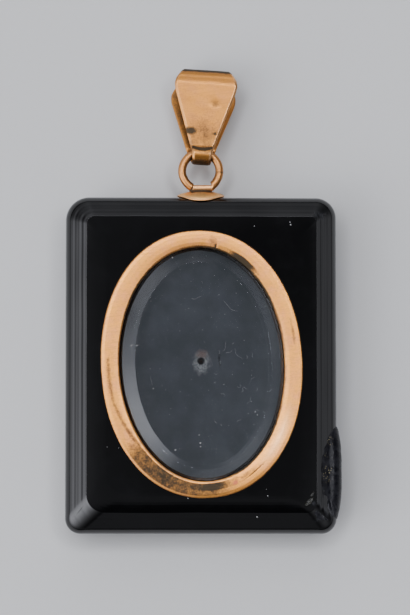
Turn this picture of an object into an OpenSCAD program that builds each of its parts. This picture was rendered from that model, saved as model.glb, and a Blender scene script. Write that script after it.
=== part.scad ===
// Keepsake pendant: a black stone plaque with a glazed oval compartment.
// It lies on its back. Z points up through the glass, Y towards the bail.
// The origin is the middle of the plaque's flat back. Sizes are in mm.

/* [Plaque] */
// Width of the stone plaque
plaque_w = 33; // [30:0.5:38]
// Height of the stone plaque
plaque_h = 41; // [39:0.5:46]
// Thickness of the stone plaque
plaque_t = 7.6; // [7.2:0.1:9]
// Radius of the four upright corners
corner_r = 2.75; // [2.6:0.05:4]
// Distance from the edge to the crease where the flat face begins
bevel_w = 2.55; // [2.2:0.05:2.6]
// Slope of the bevel below the flat face, in degrees
bevel_slope = 38; // [32:1:42]
// Radius that rounds the edge outside the bevel
edge_r = 1.8; // [1.4:0.1:2]

/* [Oval compartment] */
// Width of the gold bezel
bezel_w = 24.4; // [22:0.1:24.6]
// Height of the gold bezel
bezel_h = 32.4; // [30:0.1:32.6]
// Width of the bezel's band at the sides
band_side = 2.2; // [1.6:0.05:2.4]
// Width of the bezel's band at the top and bottom
band_end = 2; // [1.5:0.05:2.2]
// Turn of the oval to the left, in degrees
oval_turn = 2.9; // [0:0.1:4]
// Height of the bezel above the stone
band_t = 0.55; // [0.4:0.05:0.8]
// Depth of the ledge that carries the glass, below the stone's face
ledge_depth = 0.65; // [0.6:0.05:1.4]
// Depth of the compartment's floor, below the stone's face
floor_depth = 3; // [2.4:0.1:3.4]
// Width of the stone ledge under the glass
ledge_w = 0.8; // [0.5:0.05:1.2]
// Diameter of the small hole in the middle of the floor
pit_d = 0.9; // [0.6:0.1:1.5]
// Depth of that hole
pit_depth = 1.2; // [0.8:0.1:1.6]
// Distance of that hole above the oval's middle
pit_y = 0.5; // [0:0.1:1]

/* [Glass] */
// Thickness of the glass in the middle
glass_t = 1.5; // [1.3:0.05:1.8]
// Thickness of the glass at its edge
glass_edge_t = 0.6; // [0.4:0.05:0.9]
// Width of the bevel ground round the glass
glass_bevel = 1.8; // [1.4:0.05:2.2]

/* [Ring and cap] */
// Outer diameter of the wire ring
ring_d = 5.56; // [5.4:0.02:6]
// Thickness of the ring's wire
wire_d = 1; // [0.8:0.05:1.05]
// Height of the ring's centre above the plaque's top edge
ring_rise = 3.37; // [3.3:0.01:3.5]
// Width of the cap along the plaque's edge
cap_w = 5.75; // [5:0.05:6.5]
// Width of the cap across the plaque's edge
cap_depth = 4.7; // [4.4:0.1:5.4]
// Height of the domed cap above the plaque's edge
cap_rise = 0.95; // [0.85:0.05:1.05]
// Diameter of the post hidden in the stone
post_d = 1.2; // [1:0.05:1.5]
// Length of the post below the plaque's edge
post_l = 3.2; // [2:0.1:3.6]

/* [Bail] */
// Thickness of the folded strip
strip_t = 0.36; // [0.32:0.01:0.4]
// Length from the swing axis to the centre of the top fold
bail_l = 8.7; // [8:0.1:9]
// Outer radius of the top fold
fold_r = 2.16; // [1.9:0.02:2.3]
// Outer radius of the loop round the ring
foot_r = 1.26; // [1.24:0.01:1.3]
// Angle at which each leg spreads from the middle
leg_spread = 9; // [8:0.2:10]
// Lean of the bail to the right, round the ring's centre
bail_lean = 3.5; // [0:0.5:6]
// Angle by which the bail droops until its fold meets the table
bail_droop = 10.7; // [8:0.1:10.7]

/* [Hidden] */
$fn = 96;
gold = [0.84, 0.64, 0.42];
stone = [0.06, 0.06, 0.07];
clear = [0.62, 0.68, 0.72, 0.4];
seat_gap = 0.05;
eps = 0.01;
mid_z = plaque_t / 2;

// The plaque's edge: the round meets the bevel at the tangent point.
tangent_in = edge_r * (1 - sin(bevel_slope));
tangent_z = plaque_t - (bevel_w - tangent_in) * tan(bevel_slope);
round_rise = tangent_z - edge_r * cos(bevel_slope) - mid_z;

// Half axes of the ovals, outermost first.
band_out = [bezel_w / 2, bezel_h / 2];
band_in = band_out - [band_side, band_end];
sleeve_wall = 0.45;
sleeve_out = band_in + [sleeve_wall, sleeve_wall];
rebate = sleeve_out + [seat_gap, seat_gap];
glass_gap = 0.1;
glass_out = band_in - [glass_gap, glass_gap];
glass_table = glass_out - [glass_bevel, glass_bevel];
hollow = glass_out - [ledge_w, ledge_w];
ledge_z = plaque_t - ledge_depth;
oval_steps = 96;
// How full the bezel's outer oval is, where 2 is an ellipse.
band_fullness = 2.13;

// The rough patch of old filler on the lower right edge.
patch_y = -13.2;
patch_l = 11.8;
patch_rise = 0.62;
patch_root = 3;
patch_tip = 1.2;

// Where the ring, the cap and the swing axis are.
top_y = plaque_h / 2;
ring_y = top_y + ring_rise;
ring_mid_r = (ring_d - wire_d) / 2;
cap_reach = 2.5;
crown_r = 8;
dome_r = 2.7;
foot_w = 2.8;
foot_h = 0.85;
foot_base = 0.4;
post_top = 0.3;
axis_rise = 2;
nip_r = 0.6;

// Half widths of the strip at a distance along the bail from the swing axis.
//               along  half width
front_widths = [[-1.2, 1.08], [0, 1.24], [0.9, 1.5], [2.7, 2.11], [7.6, 3.7],
                [8.4, 3.87], [9.1, 3.72], [9.6, 3.45], [10.5, 2.95]];
back_widths  = [[-1.2, 1.08], [-0.2, 1.38], [0.7, 1.8], [7.1, 3.95], [7.7, 4],
                [8.2, 3.95], [8.8, 3.7], [9.6, 3.3], [10.5, 2.95]];
// The back leaf stands a little to the left of the front one.
//               along  shift
back_shifts  = [[-1, 0], [1, -0.13], [8, -0.13], [10.2, 0]];

// Points of an oval with half axes a, at height z. A full of more than 2 makes it squarer.
function oval(a, z, full = 2, turn = oval_turn) =
    [for (i = [0 : oval_steps - 1])
        let (t = 360 * i / oval_steps,
             r = pow(pow(abs(cos(t)), full) + pow(abs(sin(t)), full), -1 / full),
             x = a.x * r * cos(t),
             y = a.y * r * sin(t))
        [x * cos(turn) - y * sin(turn), x * sin(turn) + y * cos(turn), z]];

// Points of an arc in a plane.
function arc(centre, r, from, to, steps) =
    [for (i = [0 : steps]) let (t = from + (to - from) * i / steps) centre + r * [cos(t), sin(t)]];

// Cross-section of the plaque, w wide, with every face moved outwards by grow.
module section(w, grow = 0) {
    reach = edge_r + grow;
    bend = arc([w / 2 - edge_r, round_rise], reach, 90 - bevel_slope, 0, 6);
    face = mid_z + grow;
    quarter = [[bend[0].x - (face - bend[0].y) / tan(bevel_slope), face], each bend];
    last = len(quarter) - 1;
    translate([0, mid_z]) polygon([
        each quarter,
        for (i = [last : -1 : 0]) [quarter[i].x, -quarter[i].y],
        for (p = quarter) -p,
        for (i = [last : -1 : 0]) [-quarter[i].x, quarter[i].y]
    ]);
}

// The plaque before it is cut: one edge section carried round four corners.
module slab() {
    rotate([90, 0, 0])
        linear_extrude(height = plaque_h - 2 * corner_r, center = true) section(plaque_w);
    rotate([90, 0, 90])
        linear_extrude(height = plaque_w - 2 * corner_r, center = true) section(plaque_h);
    for (sx = [-1, 1], sy = [-1, 1])
        translate([sx * (plaque_w / 2 - corner_r), sy * (plaque_h / 2 - corner_r), 0])
            rotate_extrude() intersection() {
                section(2 * corner_r);
                square([corner_r, plaque_t]);
            }
}

// A lens of rough filler that stands proud of the right edge and wraps its rounds.
module patch() {
    bow_r = (pow(patch_l / 2, 2) + pow(patch_rise, 2)) / (2 * patch_rise);
    edge = plaque_w / 2;
    intersection() {
        translate([edge + patch_rise - bow_r, patch_y, 0])
            cylinder(r = bow_r, h = plaque_t, $fn = 360);
        translate([0, patch_y, mid_z]) rotate([90, 0, 0])
            linear_extrude(height = patch_l, center = true) polygon([
                [edge - edge_r, -patch_root], [edge + patch_rise, -patch_tip],
                [edge + patch_rise, patch_tip], [edge - edge_r, patch_root]
            ]);
    }
}

module oval_face(a, turn = oval_turn) {
    polygon([for (p = oval(a, 0, turn = turn)) [p.x, p.y]]);
}

module oval_pocket(a, from_z) {
    translate([0, 0, from_z]) linear_extrude(height = plaque_t - from_z + eps) oval_face(a);
}

// A solid through a stack of ovals: a ring when closed, else capped at both ends.
module oval_loft(ovals, closed = false) {
    n = oval_steps;
    k = len(ovals);
    walls = [
        for (j = [0 : (closed ? k : k - 1) - 1], i = [0 : n - 1])
            let (here = j * n, next = (j + 1) % k * n, side = (i + 1) % n)
            [here + i, next + i, next + side, here + side]
    ];
    ends = [[for (i = [0 : n - 1]) i], [for (i = [n - 1 : -1 : 0]) (k - 1) * n + i]];
    polyhedron(points = [for (o = ovals) each o], faces = [each walls, if (!closed) each ends]);
}

module plaque() {
    color(stone) difference() {
        union() {
            slab();
            patch();
        }
        oval_pocket(rebate, ledge_z);
        oval_pocket(hollow, plaque_t - floor_depth);
        translate([0, pit_y, plaque_t - floor_depth - pit_depth]) cylinder(d = pit_d, h = pit_depth + eps);
        translate([0, top_y + eps, mid_z]) rotate([90, 0, 0])
            cylinder(d = post_d + 2 * seat_gap, h = post_l + seat_gap + eps);
    }
}

// The bezel's band lies on the stone, and its sleeve goes down to the ledge.
module bezel() {
    // share of the way in across the band, share of its height
    profile = [[0, 0], [0, 0.55], [0.05, 0.78], [0.14, 0.95], [0.4, 1], [0.7, 0.96],
               [0.93, 0.81], [1, 0.58]];
    color(gold) oval_loft([
        for (p = profile)
            oval(band_out + (band_in - band_out) * p[0], plaque_t + band_t * p[1],
                 band_fullness + (2 - band_fullness) * p[0]),
        oval(band_in, ledge_z),
        oval(sleeve_out, ledge_z),
        oval(sleeve_out, plaque_t)
    ], closed = true);
}

module glass() {
    color(clear) oval_loft([
        oval(glass_out, ledge_z),
        oval(glass_out, ledge_z + glass_edge_t),
        oval(glass_table, ledge_z + glass_t)
    ]);
}

// The plaque's edge section as a bar along X, grown by grow.
module edge_bar(length, grow) {
    rotate([90, 0, 90]) linear_extrude(height = length, center = true) section(plaque_h, grow);
}

// The cap is a domed oval disc that fits over the plaque's edge and thins towards its rim.
module cap() {
    difference() {
        intersection() {
            translate([0, top_y - cap_reach, mid_z]) rotate([-90, 0, 0])
                linear_extrude(height = 2 * cap_reach) oval_face([cap_w / 2, cap_depth / 2], 0);
            translate([0, top_y + cap_rise - dome_r, mid_z]) rotate([0, 90, 0])
                cylinder(r = dome_r, h = cap_w + 1, center = true, $fn = 180);
            translate([0, top_y + cap_rise - crown_r, 0])
                cylinder(r = crown_r, h = plaque_t, $fn = 360);
        }
        edge_bar(cap_w + 2, seat_gap);
    }
}

module cap_ring() {
    color(gold) {
        translate([0, ring_y, mid_z]) rotate_extrude()
            translate([ring_mid_r, 0]) circle(d = wire_d, $fn = 48);
        cap();
        // flattened foot of the ring, soldered to the cap
        translate([0, top_y + foot_base, mid_z]) intersection() {
            rotate([-90, 0, 0]) cylinder(d = foot_w, h = foot_h, $fn = 48);
            translate([-foot_w / 2, 0, -wire_d / 2]) cube([foot_w, foot_h, wire_d]);
        }
        translate([0, top_y + post_top, mid_z]) rotate([90, 0, 0])
            cylinder(d = post_d, h = post_l + post_top, $fn = 48);
    }
}

// Half of the strip's route, seen from the side, from the foot to the top of the fold.
function half_route() =
    let (rf = foot_r - strip_t / 2,
         rt = fold_r - strip_t / 2,
         turn = leg_spread + asin((rt - bail_l * sin(leg_spread) + nip_r) / (rf + nip_r)),
         nip = (rf + nip_r) * [cos(turn), sin(turn)],
         leg_from = nip + nip_r * [sin(leg_spread), -cos(leg_spread)],
         leg_to = [bail_l, 0] + rt * [-sin(leg_spread), cos(leg_spread)])
    [
        each arc([0, 0], rf, 180, turn, 14),
        for (i = [1 : 3]) arc(nip, nip_r, turn + 180, leg_spread + 270, 4)[i],
        for (i = [0 : 9]) leg_from + (leg_to - leg_from) * i / 10,
        each arc([bail_l, 0], rt, leg_spread + 90, 0, 16)
    ];

module bail_strip() {
    front = half_route();
    m = len(front);
    route = [each front, for (i = [m - 2 : -1 : 1]) [front[i].x, -front[i].y]];
    n = len(route);
    corners = [
        for (i = [0 : n - 1])
            let (p = route[i],
                 step = route[(i + 1) % n] - route[(i + n - 1) % n],
                 out = [-step.y, step.x] / norm(step) * strip_t / 2,
                 w = lookup(p.x, i < m ? front_widths : back_widths),
                 mid = i < m ? 0 : lookup(p.x, back_shifts))
            each [[mid + w, p.x + out.x, p.y + out.y], [mid + w, p.x - out.x, p.y - out.y],
                  [mid - w, p.x - out.x, p.y - out.y], [mid - w, p.x + out.x, p.y + out.y]]
    ];
    polyhedron(points = corners, faces = [
        for (i = [0 : n - 1], j = [0 : 3])
            let (here = 4 * i, next = 4 * ((i + 1) % n), k = (j + 1) % 4)
            [here + j, next + j, next + k, here + k]
    ]);
}

// The bail hangs from the ring's crown and droops until its fold lies on the table.
module bail() {
    color(gold) translate([0, ring_y, mid_z]) rotate([0, 0, -bail_lean])
        translate([0, axis_rise, 0]) rotate([-bail_droop, 0, 0]) bail_strip();
}

plaque();
bezel();
glass();
cap_ring();
bail();
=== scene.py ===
"""Keepsake pendant: its black stone plaque, gold bezel, bevelled glass, ring, cap and folded bail.

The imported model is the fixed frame: Z up through the glass, Y towards the bail, origin in the
middle of the plaque's back. Every surface here is a grid of points worked out with numpy.
Lengths are in metres.
"""

import logging
from dataclasses import dataclass, field
from enum import Enum

import bpy
import numpy as np
from mathutils import Matrix, Vector


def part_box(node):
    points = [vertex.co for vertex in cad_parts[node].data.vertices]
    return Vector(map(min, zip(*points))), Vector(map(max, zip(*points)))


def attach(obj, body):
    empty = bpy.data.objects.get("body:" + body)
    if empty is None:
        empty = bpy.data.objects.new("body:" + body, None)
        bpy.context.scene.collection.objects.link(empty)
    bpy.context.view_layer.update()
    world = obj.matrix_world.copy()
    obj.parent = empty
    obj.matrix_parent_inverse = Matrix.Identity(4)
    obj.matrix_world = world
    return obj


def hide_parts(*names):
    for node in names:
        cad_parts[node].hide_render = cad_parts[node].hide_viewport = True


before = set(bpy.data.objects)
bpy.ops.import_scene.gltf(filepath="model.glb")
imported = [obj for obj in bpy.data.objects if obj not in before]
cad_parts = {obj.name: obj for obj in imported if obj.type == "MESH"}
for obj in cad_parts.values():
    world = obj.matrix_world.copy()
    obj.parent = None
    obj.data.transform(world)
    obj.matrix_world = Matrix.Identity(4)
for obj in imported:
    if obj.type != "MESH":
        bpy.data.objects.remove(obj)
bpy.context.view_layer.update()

LOG = logging.getLogger("pendant")
MM = 0.001
TURN = 2 * np.pi
UP = Vector((0, 0, 1))
TOWARDS_BAIL = Vector((0, 1, 0))
# lean of the ovals to the left, in degrees
OVAL_TURN = 2.9
# height about which marks on the front are centred, in millimetres
FRONT = 6.0
RING_CENTRE = np.array([0.0, 23.87, 3.8]) * MM

Array = np.ndarray
Colour = tuple[float, float, float]
Table = tuple[tuple[float, ...], ...]
Material = bpy.types.Material
Piece = bpy.types.Object
Socket = bpy.types.NodeSocket


class Body(Enum):
    """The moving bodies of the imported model."""

    PENDANT = "pendant"
    BAIL = "bail"


class Slot(Enum):
    """The record's material slots."""

    STONE = "black_stone"
    BEZEL = "bezel_gold"
    RING = "ring_gold"
    BAIL = "bail_gold"
    GLASS = "clear_glass"


def ease(share: Array) -> Array:
    """Smooth step: 3 s^2 - 2 s^3 of a share that is held between 0 and 1.

    Args:
        share: Any array of shares.

    Returns:
        The eased shares, from 0 to 1.
    """
    s = np.clip(share, 0.0, 1.0)
    return s * s * (3 - 2 * s)


def window(value: Array, start: float, rise: float, stop: float, fall: float) -> Array:
    """An eased window: from 0 at the start up over the rise to 1, and over the fall to 0 at the stop.

    Args:
        value: Values to look up.
        start: Where the window opens.
        rise: Length over which it opens.
        stop: Where it has closed.
        fall: Length over which it closes.

    Returns:
        Values from 0 to 1.
    """
    return ease((value - start) / rise) * ease((stop - value) / fall)


def bell(away: Array) -> Array:
    """A soft bump: exp(-away^2)."""
    return np.exp(-(away**2))


def metres(*lengths: float) -> tuple[float, ...]:
    """Turns lengths in millimetres into metres."""
    return tuple(length * MM for length in lengths)


def whole_turn(steps: int) -> Array:
    """Angles of a whole turn in equal steps, without the last one."""
    return TURN * np.arange(steps) / steps


def squarish(angles: Array, power: float) -> Array:
    """A circle pressed towards a square: cos t and sin t raised to a power, with their signs kept.

    Args:
        angles: Array of t.
        power: Below 1 for squarer.

    Returns:
        Array (2, angles).
    """
    circle = np.stack([np.cos(angles), np.sin(angles)])
    return np.abs(circle) ** power * np.sign(circle)


def evenly(path: Array, count: int, closed: bool = False) -> Array:
    """The same line with evenly spaced points: its coordinates interpolated over its length.

    Args:
        path: Array (n, 2) of points.
        count: How many points to give back.
        closed: True if the last point is the first one again, and is left out.

    Returns:
        Array (count, 2).
    """
    run = np.concatenate([[0], np.cumsum(np.linalg.norm(np.diff(path, axis=0), axis=1))])
    even = np.linspace(0, run[-1], count, endpoint=not closed)
    return np.stack([np.interp(even, run, path[:, k]) for k in (0, 1)], axis=-1)


def left_of(heading: Array) -> Array:
    """Unit vectors on the left of some headings: (-y, x) / length."""
    return np.stack([-heading[:, 1], heading[:, 0]], -1) / np.linalg.norm(heading, axis=1, keepdims=True)


def lumps(points: Array, size: float, seed: int, octaves: int = 3) -> Array:
    """Soft lumps: a sum of seven sine waves of seeded direction and phase, octave upon octave.

    Args:
        points: Array whose last axis holds the coordinates.
        size: Length of the largest waves.
        seed: Seed of the directions and phases.
        octaves: How many times the waves are halved and added.

    Returns:
        Heights between about -1 and 1, one for each point.
    """
    rng = np.random.default_rng(seed)
    total = np.zeros(points.shape[:-1])
    for octave in range(octaves):
        heading = rng.normal(size=(points.shape[-1], 7))
        heading *= TURN / size * 2**octave / np.linalg.norm(heading, axis=0)
        total += 0.5**octave * np.sin(points @ heading + rng.uniform(0, TURN, 7)).mean(-1)
    return total * 1.8


def arc(centre: tuple[float, float], radius: float, start: float, stop: float, steps: int) -> Array:
    """Points of an arc: centre + radius (cos t, sin t), with t from start to stop in degrees.

    Args:
        centre: Centre of the arc.
        radius: Radius of the arc.
        start: First angle.
        stop: Last angle.
        steps: Number of equal steps.

    Returns:
        Array (steps + 1, 2).
    """
    t = np.radians(np.linspace(start, stop, steps + 1))
    return np.array(centre) + radius * np.stack([np.cos(t), np.sin(t)], axis=-1)


def rounded(corners: Array, radii: Array, steps: int = 5) -> Array:
    """A path with rounded corners: (1 - s)^2 start + 2 s (1 - s) corner + s^2 stop at each of them.

    Start and stop lie on the two legs, radius * tan(turn / 2) from the corner.

    Args:
        corners: Array (n, 2) of corners, the first and last of which stay sharp.
        radii: Radius at each inner corner, n - 2 of them.
        steps: Steps along each corner.

    Returns:
        Array of points along the rounded path.
    """
    legs = np.diff(corners, axis=0)
    legs /= np.linalg.norm(legs, axis=1, keepdims=True)
    before, after = legs[:-1], legs[1:]
    turn = np.arctan2(np.cross(before, after), (before * after).sum(1))
    back = np.abs(np.asarray(radii) * np.tan(turn / 2))[:, None]
    start, stop = corners[1:-1] - before * back, corners[1:-1] + after * back
    share = np.linspace(0, 1, steps + 1)[None, :, None]
    bend = (1 - share) ** 2 * start[:, None] + share**2 * stop[:, None]
    bend = bend + 2 * share * (1 - share) * corners[1:-1][:, None]
    return np.concatenate([corners[:1], bend.reshape(-1, 2), corners[-1:]])


def divided(path: Array, step: float, closed: bool = False) -> Array:
    """The same path with its long legs divided, so that no leg is longer than the step.

    Args:
        path: Array (n, d) of points.
        step: Longest leg that is left.
        closed: True if the last point joins the first.

    Returns:
        Array of points, the given ones among them.
    """
    stops = np.concatenate([path, path[:1]]) if closed else path
    legs = np.linalg.norm(np.diff(stops, axis=0), axis=1)
    pieces = np.maximum(1, np.ceil(legs / step)).astype(int)
    leg = np.repeat(np.arange(len(legs)), pieces)
    share = (np.arange(pieces.sum()) - np.repeat(np.cumsum(pieces) - pieces, pieces)) / pieces[leg]
    points = stops[leg] + share[:, None] * (stops[leg + 1] - stops[leg])
    return points if closed else np.concatenate([points, path[-1:]])


def ovals(
    half_axes: Array, heights: Array, angles: Array, turn: float = 0.0, fullness: Array | float = 2.0
) -> Array:
    """Rows of turned ovals: (a r cos t, b r sin t, z) with r = (|cos t|^n + |sin t|^n)^(-1/n).

    Args:
        half_axes: Array (rows, 2) of a and b.
        heights: Array (rows,) of z.
        angles: Array (columns,) of t.
        turn: Turn of the ovals to the left, in degrees.
        fullness: The exponent n, for each row or for all; 2 gives an ellipse.

    Returns:
        Array (rows, columns, 3).
    """
    half_axes, heights = np.asarray(half_axes), np.asarray(heights)
    n = np.broadcast_to(fullness, heights.shape)[:, None]
    radius = (np.abs(np.cos(angles)) ** n + np.abs(np.sin(angles)) ** n) ** (-1 / n)
    x = half_axes[:, :1] * radius * np.cos(angles)
    y = half_axes[:, 1:] * radius * np.sin(angles)
    c, s = np.cos(np.radians(turn)), np.sin(np.radians(turn))
    return np.stack([x * c - y * s, x * s + y * c, np.broadcast_to(heights[:, None], x.shape)], axis=-1)


@dataclass
class Skin:
    """A closed surface on a grid of rows and columns; each row runs round and joins itself.

    Attributes:
        grid: Points (rows, columns, 3).
        poles: The points that close the first and the last row, or none for a ring of rows.
        zones: Material slot of each strip between two rows, or none for the first slot.
    """

    grid: Array
    poles: tuple[Array, Array] | None = None
    zones: Array | None = None

    @classmethod
    def capped(cls, grid: Array) -> "Skin":
        """A skin whose ends close at the middles of its first and last row."""
        return cls(grid, (grid[0].mean(0), grid[-1].mean(0)))

    def faces(self) -> tuple[Array, list[tuple[Array, Array, Array]]]:
        """Points and polygons: quads between the rows, and a fan of triangles at each pole.

        Returns:
            The points, and blocks of (corner indices, their UVs, material slots).
        """
        rows, columns, _ = self.grid.shape
        points = self.grid.reshape(-1, 3)
        strips = rows if self.poles is None else rows - 1
        across = np.linspace(0, 1, strips + 1)
        zones = np.zeros(strips, int) if self.zones is None else self.zones
        i, j = (a.ravel() for a in np.meshgrid(range(strips), range(columns), indexing="ij"))
        k, side = (i + 1) % rows, (j + 1) % columns
        quads = np.stack([i * columns + j, i * columns + side, k * columns + side, k * columns + j], 1)
        u = np.stack([j, j + 1, j + 1, j], 1) / columns
        v = np.stack([across[i], across[i], across[i + 1], across[i + 1]], 1)
        blocks = [(quads, np.stack([u, v], -1), zones[i])]
        if self.poles is not None:
            points = np.concatenate([points, np.array(self.poles)])
            j = np.arange(columns)
            side, last = (j + 1) % columns, (rows - 1) * columns
            first_pole, last_pole = (np.full(columns, rows * columns + n) for n in (0, 1))
            u = np.stack([j + 0.5, j + 1, j], 1) / columns
            first = np.stack([first_pole, side, j], 1)
            final = np.stack([last_pole, last + j, last + side], 1)
            for fan, end in ((first, 0), (final, -1)):
                uv = np.stack([u, np.full(u.shape, across[end])], -1)
                blocks.append((fan, uv, np.full(columns, zones[end])))
        return points, blocks


def outward(points: Array, blocks: list[tuple[Array, Array, Array]]) -> bool:
    """Whether the faces point outwards: the sum of the corners' triple products is positive.

    Args:
        points: Array (n, 3).
        blocks: Blocks of polygons as Skin.faces gives them.

    Returns:
        True if the enclosed volume is positive.
    """
    volume = 0.0
    for corners, _, _ in blocks:
        a = points[corners[:, 0]]
        for n in range(1, corners.shape[1] - 1):
            b, c = points[corners[:, n]], points[corners[:, n + 1]]
            volume += (a * np.cross(b, c)).sum()
    return volume > 0


def make_piece(name: str, skins: list[Skin], materials: list[Material]) -> Piece:
    """Puts one or more skins into one mesh object at the origin, smooth and facing outwards.

    Args:
        name: Name of the piece.
        skins: Closed surfaces to join.
        materials: Its materials, in the order of the skins' zones.

    Returns:
        The new object.
    """
    points, corners, uvs, sizes, slots, offset = [], [], [], [], [], 0
    for skin in skins:
        own_points, blocks = skin.faces()
        step = 1 if outward(own_points, blocks) else -1
        for block, uv, zone in blocks:
            corners.append((block[:, ::step] + offset).ravel())
            uvs.append(uv[:, ::step].reshape(-1, 2))
            sizes.append(np.full(len(block), block.shape[1]))
            slots.append(zone)
        points.append(own_points)
        offset += len(own_points)
    size, corner = np.concatenate(sizes), np.concatenate(corners)
    mesh = bpy.data.meshes.new(name)
    mesh.vertices.add(offset)
    mesh.vertices.foreach_set("co", np.concatenate(points).astype(np.float32).ravel())
    mesh.loops.add(len(corner))
    mesh.loops.foreach_set("vertex_index", corner.astype(np.int32))
    mesh.polygons.add(len(size))
    mesh.polygons.foreach_set("loop_start", (np.cumsum(size) - size).astype(np.int32))
    mesh.polygons.foreach_set("material_index", np.concatenate(slots).astype(np.int32))
    mesh.polygons.foreach_set("use_smooth", np.ones(len(size), bool))
    mesh.update(calc_edges=True)
    layer = mesh.uv_layers.new(name="grid")
    layer.data.foreach_set("uv", np.concatenate(uvs).astype(np.float32).ravel())
    for material in materials:
        mesh.materials.append(material)
    piece = bpy.data.objects.new(name, mesh)
    bpy.context.scene.collection.objects.link(piece)
    return piece


def fit(piece: Piece, body: Body, node: str | None = None) -> None:
    """Lets the piece ride on a body and stand for a CAD node, whose own mesh it hides.

    Args:
        piece: The finished piece.
        body: Body that carries it.
        node: CAD node that it stands for, if any.
    """
    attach(piece, body.value)
    if node is not None:
        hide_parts(node)
    LOG.info("%s: %d faces on %s", piece.name, len(piece.data.polygons), body.value)


class Nodes:
    """A node tree that is laid call by call."""

    def __init__(self, tree: bpy.types.NodeTree) -> None:
        """Empties the tree and starts it with its coordinates."""
        self.nodes, self.links = tree.nodes, tree.links
        self.nodes.clear()
        self.coords = self.nodes.new("ShaderNodeTexCoord")

    def put(self, target: Socket, value: object) -> None:
        """Links a socket, or sets a plain value, on an input.

        Args:
            target: Input socket.
            value: Output socket, number or colour.
        """
        if isinstance(value, Socket):
            self.links.new(value, target)
        elif isinstance(value, tuple) and len(value) == 3 and target.type == "RGBA":
            target.default_value = (*value, 1.0)
        else:
            target.default_value = value

    def calc(self, operation: str, a: object, b: object = 0.0, clamp: bool = False) -> Socket:
        """A Math node.

        Args:
            operation: Its operation.
            a: First value or socket.
            b: Second value or socket.
            clamp: Whether the result is held between 0 and 1.

        Returns:
            Its output.
        """
        node = self.nodes.new("ShaderNodeMath")
        node.operation, node.use_clamp = operation, clamp
        self.put(node.inputs[0], a)
        self.put(node.inputs[1], b)
        return node.outputs[0]

    def blend(self, share: object, a: object, b: object) -> Socket:
        """A Mix node that goes from colour a to colour b.

        Args:
            share: Share of b.
            a: Colour or socket at 0.
            b: Colour or socket at 1.

        Returns:
            The mixed colour.
        """
        node = self.nodes.new("ShaderNodeMix")
        node.data_type = "RGBA"
        self.put(node.inputs["Factor"], share)
        self.put(node.inputs[6], a)
        self.put(node.inputs[7], b)
        return node.outputs[2]

    def span(
        self, value: Socket, low: float, high: float, to: tuple[float, float] = (0.0, 1.0)
    ) -> Socket:
        """A Map Range node with a smooth step.

        Args:
            value: Socket to map.
            low: Value that becomes the first of the new range.
            high: Value that becomes the last of it.
            to: The new range.

        Returns:
            The mapped value.
        """
        node = self.nodes.new("ShaderNodeMapRange")
        node.interpolation_type = "SMOOTHSTEP"
        for index, number in enumerate((value, low, high, *to)):
            self.put(node.inputs[index], number)
        return node.outputs[0]

    def measure(self, operation: str, a: Socket, b: object = None) -> Socket:
        """A Vector Math node whose result is a number, such as a length or a dot product.

        Args:
            operation: Its operation.
            a: First vector.
            b: Second vector, if the operation takes one.

        Returns:
            Its value.
        """
        node = self.nodes.new("ShaderNodeVectorMath")
        node.operation = operation
        self.put(node.inputs[0], a)
        if b is not None:
            self.put(node.inputs[1], b)
        return node.outputs["Value"]

    def placed(
        self,
        at: tuple[float, ...] = (0.0, 0.0, 0.0),
        size: tuple[float, ...] = (1.0, 1.0, 1.0),
        turned: float = 0.0,
    ) -> Socket:
        """Object coordinates that are 0 at a place, turned about Z and divided by a size.

        Args:
            at: The place.
            size: Length that becomes 1, along each axis.
            turned: Turn about Z, in degrees.

        Returns:
            The mapped vector.
        """
        node = self.nodes.new("ShaderNodeMapping")
        node.vector_type = "TEXTURE"
        self.put(node.inputs["Vector"], self.coords.outputs["Object"])
        node.inputs["Location"].default_value = at
        node.inputs["Rotation"].default_value = (0.0, 0.0, np.radians(turned))
        node.inputs["Scale"].default_value = size
        return node.outputs[0]

    def cloud(
        self, vector: Socket, scale: float = 1.0, detail: float = 3.0, rough: float = 0.55
    ) -> Socket:
        """A Noise texture.

        Args:
            vector: Coordinates.
            scale: Patterns per unit of them.
            detail: Octaves.
            rough: Strength of the finer octaves.

        Returns:
            The noise, about 0 to 1.
        """
        node = self.nodes.new("ShaderNodeTexNoise")
        self.put(node.inputs["Vector"], vector)
        for key, value in (("Scale", scale), ("Detail", detail), ("Roughness", rough)):
            node.inputs[key].default_value = value
        return node.outputs[0]

    def grains(self, vector: Socket, scale: float, radius: float) -> Socket:
        """Scattered round grains: 1 inside a radius about each Voronoi point, 0 outside.

        Args:
            vector: Coordinates.
            scale: Cells per unit of them.
            radius: Radius of a grain, as a share of a cell.

        Returns:
            The mask.
        """
        node = self.nodes.new("ShaderNodeTexVoronoi")
        self.put(node.inputs["Vector"], vector)
        node.inputs["Scale"].default_value = scale
        return self.span(node.outputs["Distance"], radius, radius * 0.5)

    def spot(
        self,
        at: tuple[float, ...],
        size: tuple[float, ...],
        turned: float = 0.0,
        soft: float = 0.6,
        ragged: float = 0.0,
    ) -> Socket:
        """A soft spot: 1 in the middle of an ellipsoid, fading to 0 at its edge.

        Args:
            at: Middle of the spot.
            size: Half axes.
            turned: Turn about Z, in degrees.
            soft: Share of the radius over which it fades.
            ragged: How far noise pushes its edge, as a share of the radius.

        Returns:
            The mask.
        """
        vector = self.placed(at, size, turned)
        reach = self.measure("LENGTH", vector)
        if ragged:
            push = self.calc("MULTIPLY", self.cloud(vector, scale=2.3, detail=4.0), ragged)
            reach = self.calc("SUBTRACT", self.calc("ADD", reach, push), ragged * 0.5)
        return self.span(reach, 1.0, 1.0 - soft)

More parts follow.
